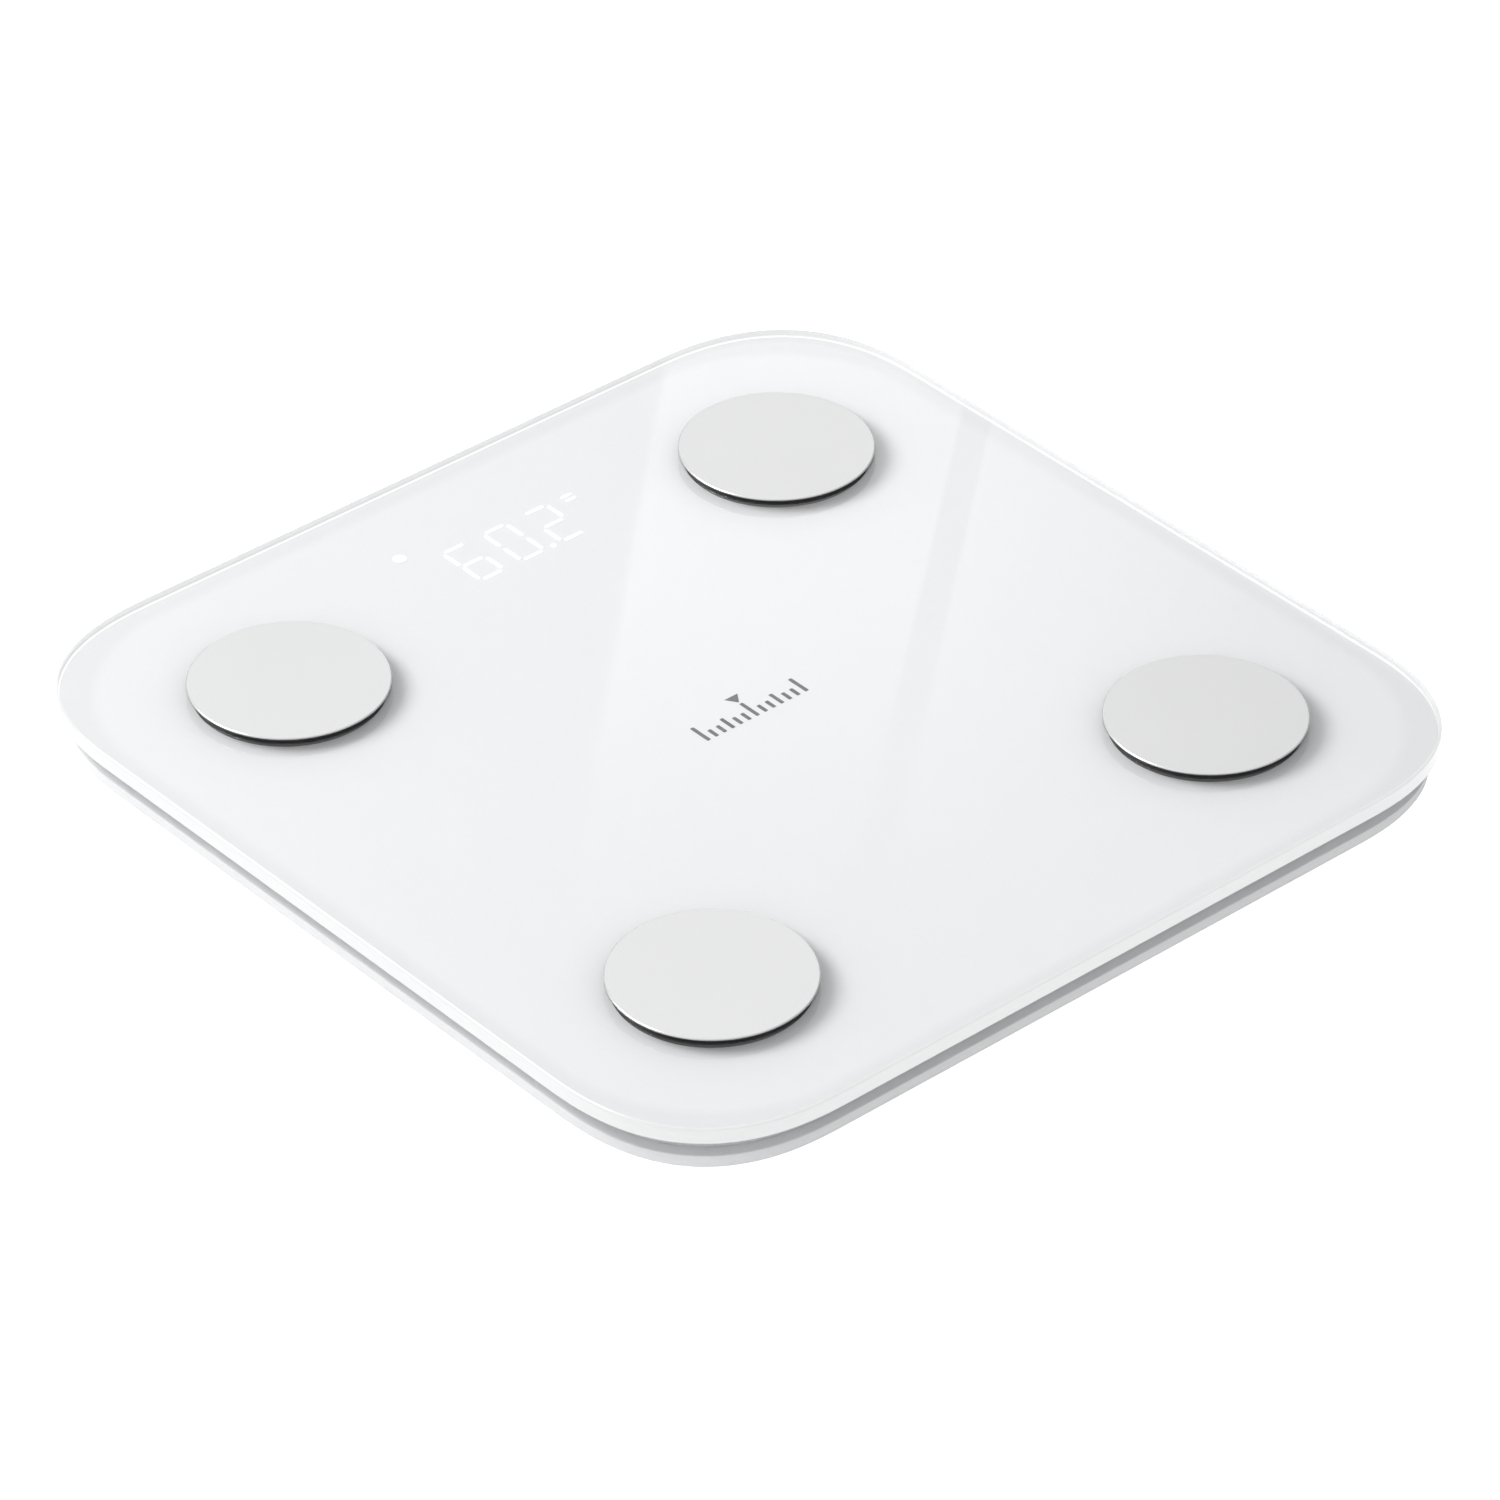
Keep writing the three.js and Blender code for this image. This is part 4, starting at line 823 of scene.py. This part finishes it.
for side in (-1, 1):
    removed.append(block(
        (COVER_LEFT - SWEEP, side * TAB_Y - TAB_HALF - RUN, cover_high[2] - TAB_THICK - REST),
        (COVER_LEFT + SWEEP, side * TAB_Y + TAB_HALF + RUN, cover_low[2] + SWEEP)))
    slit_x, slit_y = side * 25.05, side * -bay_low[1]
    removed.append(block((slit_x - 0.55, slit_y - 3, floor), (slit_x + 0.55, slit_y + 3, 14.9)))
for corner, sign_x, sign_y in SIDES:
    x, y = sign_x * FOOT_SPOT, sign_y * FOOT_SPOT
    added.append(drum((x, y), POCKET + 2, floor - CUT, rim, 96))
    removed.append(pocket_cutter(x, y))
    removed.append(lipped_hole((x, y), FOOT_RADIUS + RUN, 0.5, floor + CUT))
    notch_x = sign_x * (FOOT_SPOT - POCKET)
    removed.append(block((notch_x - 4, y - 1.9, 10.1), (notch_x + 4, y + 1.9, 13.9)))
    removed.append(drum(electrode_spot(corner), 4.7, 14.1, rim + CUT, 32))
base_mesh = carve(tray, added, removed)
piece("base_tray", base_mesh, "platform", ["base_shell"], "base_plastic")

# %% [markdown]
# ## Feet
# A foot is a cup that slides up its pocket by less than half a millimetre, with a rubber pad
# let into its lower face. Both are turned shapes. The pad gets real concentric grooves, because
# they are what is seen of it from below and a bump alone would leave its edge flat.

# %% Build the feet and their pads
PAD_RADIUS, PAD_THICK, PAD_SHOW = 16.0, 2.2, 1.2
GROOVES, GROOVE_DEEP = (4.0, 7.0, 10.0, 13.0), 0.35

pad_profile = [(1.0, 0.0)]
for groove in GROOVES:
    pad_profile += [(groove - 0.55, 0.0), (groove - 0.3, GROOVE_DEEP),
                    (groove + 0.3, GROOVE_DEEP), (groove + 0.55, 0.0)]
pad_profile += [(PAD_RADIUS, 0.0), (PAD_RADIUS, PAD_THICK), (PAD_RADIUS - 1, PAD_THICK)]
recess, flange = PAD_RADIUS + REST, FOOT_RADIUS + 1.6
cup_profile = [
    (2.0, PAD_THICK + REST), (recess, PAD_THICK + REST), (recess, PAD_SHOW),
    (FOOT_RADIUS, PAD_SHOW), (FOOT_RADIUS, floor + REST), (flange, floor + REST),
    (flange, floor + REST + 1.1), (FOOT_RADIUS - 2, floor + REST + 1.1),
    (FOOT_RADIUS - 2, PAD_THICK + REST + 2), (4.0, PAD_THICK + REST + 2),
    (3.0, foot_high[2]), (1.0, foot_high[2])]
for corner, sign_x, sign_y in SIDES:
    spot = (sign_x * FOOT_SPOT, sign_y * FOOT_SPOT)
    piece(f"foot_cup_{corner}", turned(eased(cup_profile, 0.45), spot), f"foot_{corner}",
          [f"foot_{corner}"], "foot_plastic")
    piece(f"rubber_pad_{corner}", turned(eased(pad_profile, 0.25, 3), spot), f"foot_{corner}",
          [f"foot_pad_{corner}"], "foot_rubber")

# %% [markdown]
# ## Battery cover and latch
# The cover is a thin plate with two hinge tabs at one end and a cut-out for the latch at the
# other. Three shallow grooves give the thumb a grip. The latch is a pad with a leg and a hook,
# made from three rounded blocks joined into one.

# %% Build the cover and its latch
cover = carve(
    slab((cover_middle, 0), (cover_reach, COVER_HALF), 2.0, cover_low[2], cover_high[2], 0.3, 0.15),
    added=[block((cover_low[0], side * TAB_Y - TAB_HALF, cover_high[2] - TAB_THICK),
                 (COVER_LEFT + CUT, side * TAB_Y + TAB_HALF, cover_high[2]), 0.15)
           for side in (-1, 1)],
    removed=[block((latch_low[0] - REST, -latch_room, cover_low[2] - CUT),
                   (COVER_RIGHT + CUT, latch_room, cover_high[2] + CUT))]
    + [slab((x, 0), (0.55, 9.0), 0.55, cover_low[2] - CUT, cover_low[2] + 0.45, 0, 0.4)
       for x in (18.0, 20.2, 22.4)]
    + [slab((0, row * 11.1), (21.0, 4.6), 1.2, cover_high[2] - 0.2, cover_high[2] + CUT)
       for row in (-1, 0, 1)])
piece("bay_cover", cover, "battery_cover", ["battery_cover"], "base_plastic")

leg_face, half = latch_high[0] - 0.8, latch_high[1]
latch = carve(
    block((latch_low[0], -half, latch_low[2]), (latch_high[0], half, cover_high[2]), 0.25),
    added=[block((leg_face - 0.9, -half, cover_high[2] - CUT), (leg_face, half, latch_high[2]), 0.1),
           block((leg_face - 0.45, -half, latch_high[2] - 0.8),
                 (latch_high[0], half, latch_high[2]), 0.15)],
    removed=[slab((latch_low[0] + step, 0), (0.28, 4.2), 0.28, latch_low[2] - CUT,
                  latch_low[2] + 0.3, 0, 0.2) for step in (1.2, 2.2, 3.2)])
piece("bay_latch", latch, "cover_latch", ["cover_latch"], "base_plastic")

# %% [markdown]
# ## Unit button
# A round button in the underside changes the unit. Its face is dished, so that a fingertip
# finds it, and a flange above keeps it from falling out.

# %% Build the unit button
BUTTON_RADIUS, BUTTON_FLANGE = 4.2, 5.6
button_face, flange_low = button_low[2], floor + REST
button_profile = [
    (0.8, button_face + 0.35), (2.0, button_face + 0.26), (3.0, button_face + 0.08),
    (3.4, button_face), (BUTTON_RADIUS, button_face), (BUTTON_RADIUS, flange_low),
    (BUTTON_FLANGE, flange_low), (BUTTON_FLANGE, button_high[2]), (1.0, button_high[2])]
piece("unit_push_button", turned(eased(button_profile, 0.3), button_spot, 64), "unit_button",
      ["unit_button"], "button_plastic")

# %% [markdown]
# ## Batteries, springs and contacts
# Three cells lie side by side in the bay, and they show when its cover swings down. A cell is a
# turned shape laid on its side: printed film for most of its length, a coloured band at its
# button end, bare metal at both ends. A spring is a tube round a cone-shaped helix: its frame
# comes from the helix's tangent and the cell's axis, so no curve object is needed.

# %% Build the cells
film = Finish("dark_cell_film", Coat_Weight=0.6, Coat_Roughness=0.12)
scuff = film.noise(5, 4, (0.3, 1, 1))
film.tint(scuff, (0.035, 0.04, 0.05), (0.06, 0.068, 0.08))
film.take("Roughness", film.rise(scuff, 0.4, 0.8) * 0.15 + 0.25)
FINISHES["cell_jacket"] = film.material
band_film = Finish("copper_cell_band", Metallic=0.8, Coat_Weight=0.6)
sheen = band_film.noise(4, 3, (0.3, 1, 1))
band_film.tint(sheen, (0.55, 0.27, 0.12), (0.66, 0.34, 0.16))
band_film.take("Roughness", sheen * 0.1 + 0.25)
can = metal("nickelled_can", (0.7, 0.7, 0.68), 0.22)

CELL, CELL_LONG, NUB, NUB_LONG = 5.25, 44.5, 1.9, 1.0
shoulder = CELL_LONG - NUB_LONG
cell_profile = [(CELL - 1.2, 0.15), (CELL - 0.6, 0), (CELL - 0.15, 0.15), (CELL - 0.02, 0.6),
                (CELL, 0.8), (CELL, shoulder - 11), (CELL, shoulder - 0.8),
                (CELL - 0.03, shoulder - 0.5), (CELL - 0.5, shoulder), (NUB + 0.4, shoulder - 0.1),
                (NUB, shoulder + 0.1), (NUB, CELL_LONG - 0.2), (NUB - 0.3, CELL_LONG)]
cell_bands = [2, 2, 2, 0, 0, 1, 1, 1, 2, 2, 2, 2]


def laid(shape, kind, number):
    """An upright shape laid along X where a node of cell 1, 2 or 3 is; the middle one faces -X.
    Moving z to x, x to y and y to z keeps it right way out, as does half a turn."""
    low, high = box_mm(f"battery_{kind}_{number}")
    cell_low, cell_high = box_mm(f"battery_cell_{number}")
    direction = 1 if number % 2 else -1
    start = [low[0] if direction > 0 else high[0], (low[1] + high[1]) / 2,
             (cell_low[2] + cell_high[2]) / 2]
    points, faces = shape
    return points[:, [2, 0, 1]] * [direction, direction, 1] + start, faces


marks = np.concatenate([np.repeat(cell_bands, 64), [2, 2]])
for number in (1, 2, 3):
    piece(f"dry_cell_{number}", laid(turned(cell_profile, sides=64), "cell", number),
          "platform", [f"battery_cell_{number}"], "cell_jacket",
          [film.material, band_film.material, can], marks)

# %% Build the springs and the contacts
def tube(path, radius, axis, sides=12):
    """Rings of points at right angles to a path, their frame fixed by an axis it never follows."""
    along = np.gradient(path, axis=0)
    along /= np.linalg.norm(along, axis=1)[:, None]
    out = np.cross(along, axis)
    out /= np.linalg.norm(out, axis=1)[:, None]
    over = np.cross(along, out)
    angle = (np.arange(sides) * 2 * np.pi / sides)[None, :, None]
    rings = path[:, None] + radius * (np.cos(angle) * out[:, None] + np.sin(angle) * over[:, None])
    return skin(list(rings))


WIRE, TURNS, WIDE_END, TIP = 0.35, 3.5, 3.55, 2.0
share = np.linspace(0, 1, 140)
for number in (1, 2, 3):
    low, high = box_mm(f"battery_spring_{number}")
    rise = np.clip((share - 0.14) / 0.72, 0, 1)  # the first and last half turns lie flat
    cone = WIDE_END + (TIP - WIDE_END) * rise
    spin = share * TURNS * 2 * np.pi
    path = np.stack([cone * np.cos(spin), cone * np.sin(spin),
                     WIRE + rise * (high[0] - low[0] - 2 * WIRE)], 1)
    piece(f"cone_spring_{number}", laid(tube(path, WIRE, (0, 0, 1)), "spring", number),
          "platform", [f"battery_spring_{number}"], "spring_steel")

for name in ("battery_link_right", "battery_link_left", "battery_terminal_negative",
             "battery_terminal_positive"):
    low, high = box_mm(name)
    piece(f"{name}_strip", block(low, high, 0.12), "platform", [name], "contact_wire")

# %% [markdown]
# ## Finishes for the CAD nodes that stay
# The load cells, boards, bushes, nuts and wires are right as the CAD made them and are mostly
# out of sight, so they stay and only take better finishes, by the slot names in the record.

# %% Give the remaining CAD nodes their finishes
for part in frame["record"]["subparts"]:
    node = frame["nodes"][part["node"]]
    if not node.hide_render:
        for place in node.material_slots:
            place.material = FINISHES[part["material_slot"]]
kept = [name for name, node in frame["nodes"].items() if not node.hide_render]
print(len(kept), "CAD nodes stay:", ", ".join(sorted(kept)))

# %% [markdown]
# ## Floor
# The scale stands on a white sweep, a pale floor that goes on for ever. A lit floor would show a
# shadow and a horizon, where a product picture has plain white. So the camera's own rays see it
# glow white, while every other ray finds an ordinary pale floor that bounces light up at the
# base. It is seen through from below, so that the underside can be looked at.

# %% Build the floor
def stage_square(name, half, height, finish):
    """A flat square that belongs to the studio, `half` millimetres from middle to side."""
    flat = np.array([[-1, -1], [1, -1], [1, 1], [-1, 1]]) * half
    mesh = to_mesh((np.column_stack([flat, np.full(4, height)]), [[0, 1, 2, 3]]), name)
    mesh.materials.append(finish.material)
    return new_object(name, mesh)


sweep = Finish("white_sweep", Roughness=0.9, Specular_IOR_Level=0.1, Emission_Strength=1.0)
sweep.tint(sweep.noise(400, 2), (0.90, 0.90, 0.90), (0.92, 0.92, 0.92))
seen = sweep.node("ShaderNodeLightPath", {}, {}, "Is Camera Ray")
sweep.tint(seen, (0.14, 0.14, 0.14), (1, 1, 1), "Emission Color")
sweep.let_through(sweep.node("ShaderNodeNewGeometry", {}, {}, "Backfacing"))
FLOOR_HALF, FLOOR_DROP = 12000.0, 0.2
stage_floor = stage_square("stage_floor", FLOOR_HALF, -FLOOR_DROP, sweep)
print("the floor is", 2 * FLOOR_HALF * MM, "m wide")

# %% [markdown]
# ## Light
# Soft light comes from the whole room: more from above, some from the left, and a little from
# where the steel discs mirror it towards the camera. A sky picture could do this, but a sum of a
# few directions says plainly what each does. One large lamp behind and to the left gives the
# soft shadow under each disc.

# %% Build the room and its lamp
class Room(Finish):
    """The world's nodes: the same arithmetic, on the direction that light comes from."""

    def __init__(self, name):
        world = bpy.data.worlds.new(name)
        world.use_nodes = True
        bpy.context.scene.world = world
        self.tree = world.node_tree
        self.shader = self.tree.nodes["Background"]
        self.place = self.node("ShaderNodeTexCoord", {}, {}, "Generated")

    def towards(self, direction):
        """How far the light's direction leans towards another, never below 0."""
        lean = self.node("ShaderNodeVectorMath", {"operation": "DOT_PRODUCT"},
                         {0: self.place, 1: direction}, "Value")
        return self.node("ShaderNodeMath", {"operation": "MAXIMUM"}, {0: lean, 1: 0.0})


bounce = Vector((ahead.x, ahead.y, -ahead.z))  # the way the glass mirrors the camera's look
LEFT, UP, DOWN = (-0.75, 0.66, 0), (0, 0, 1), (0, 0, -1)
FROM_ABOVE, FROM_LEFT, FROM_BELOW, MIRRORED, EVERYWHERE = 0.48, 0.34, 1.2, 0.14, 0.30
room = Room("soft_room")
soft = (room.towards(UP) * FROM_ABOVE + room.towards(LEFT) * FROM_LEFT
        + room.towards(DOWN) * FROM_BELOW
        + room.rise(room.towards(bounce), 0.6, 0.98) * MIRRORED + EVERYWHERE)
in_view = room.node("ShaderNodeLightPath", {}, {}, "Is Camera Ray")
room.take("Strength", soft * (1 - in_view) + in_view)
room.take("Color", (0.99, 0.995, 1.0, 1.0))

LAMP_PLACE, LAMP_SIZE, LAMP_POWER = Vector((-0.85, 1.2, 1.7)), 1.1, 30  # metres and watts
lamp_data = bpy.data.lights.new("big_soft_lamp", "AREA")
lamp_data.size, lamp_data.energy = LAMP_SIZE, LAMP_POWER
lamp = new_object("big_soft_lamp", lamp_data)
lamp.matrix_world = Matrix.Translation(LAMP_PLACE) @ LAMP_PLACE.to_track_quat(
    "Z", "Y").to_matrix().to_4x4()
bpy.context.scene.view_settings.view_transform = "Standard"
print("the lamp stands", round(LAMP_PLACE.length, 2), "m away")

# %% [markdown]
# ## Reflector card
# Clear glass shows itself only by what it mirrors. A pale card stands behind the scale, where
# the camera sees it in the glass, with a slanting end and a narrow slit, and it fades towards
# its lower end, so that the mirrored shape has two crisp edges and no bottom. The card is one
# square, clear where it does not glow and darker towards its far end; its shape is in its
# finish, which is simpler than cutting it.

# %% Stand the reflector card in the glass's mirror direction
SHAPE_LEAN, SLIT_LEAN, SLIT_DEPTH = 0.187, 0.231, 0.85
card_glow = Finish("reflector_card", Base_Color=(0.0, 0.0, 0.0, 1.0), Emission_Strength=1.12)
across = card_glow.node("ShaderNodeSeparateXYZ", {}, {"Vector": card_glow.place}, "X")
upward = Value(card_glow, across.socket.node.outputs["Y"])
slant, slit = across + upward * SHAPE_LEAN, across + upward * SLIT_LEAN
shape = card_glow.rise(slant, -0.086, -0.076) * card_glow.rise(upward, 0.14, -0.12)
card_glow.tint(
    card_glow.rise(across, 0.40, 0.05), (0.3, 0.3, 0.3), (1, 1, 1), "Emission Color")
opening = card_glow.rise(slit, 0.075, 0.080) - card_glow.rise(slit, 0.091, 0.096)
card_glow.let_through(1 - shape * (1 - opening * SLIT_DEPTH))
CARD_HALF, CARD_DISTANCE = 700.0, 2.0
card = stage_square("stage_reflector_card", CARD_HALF, 0.0, card_glow)
card_right = bounce.cross(Vector((0, 0, 1))).normalized()
card_up = card_right.cross(bounce)
card.matrix_world = Matrix.Translation(bounce * CARD_DISTANCE + Vector((0, 0, FACE * MM))) @ Matrix(
    (card_right, card_up, -bounce)).transposed().to_4x4()
card.visible_camera = card.visible_shadow = False
print("the card stands", CARD_DISTANCE, "m away")
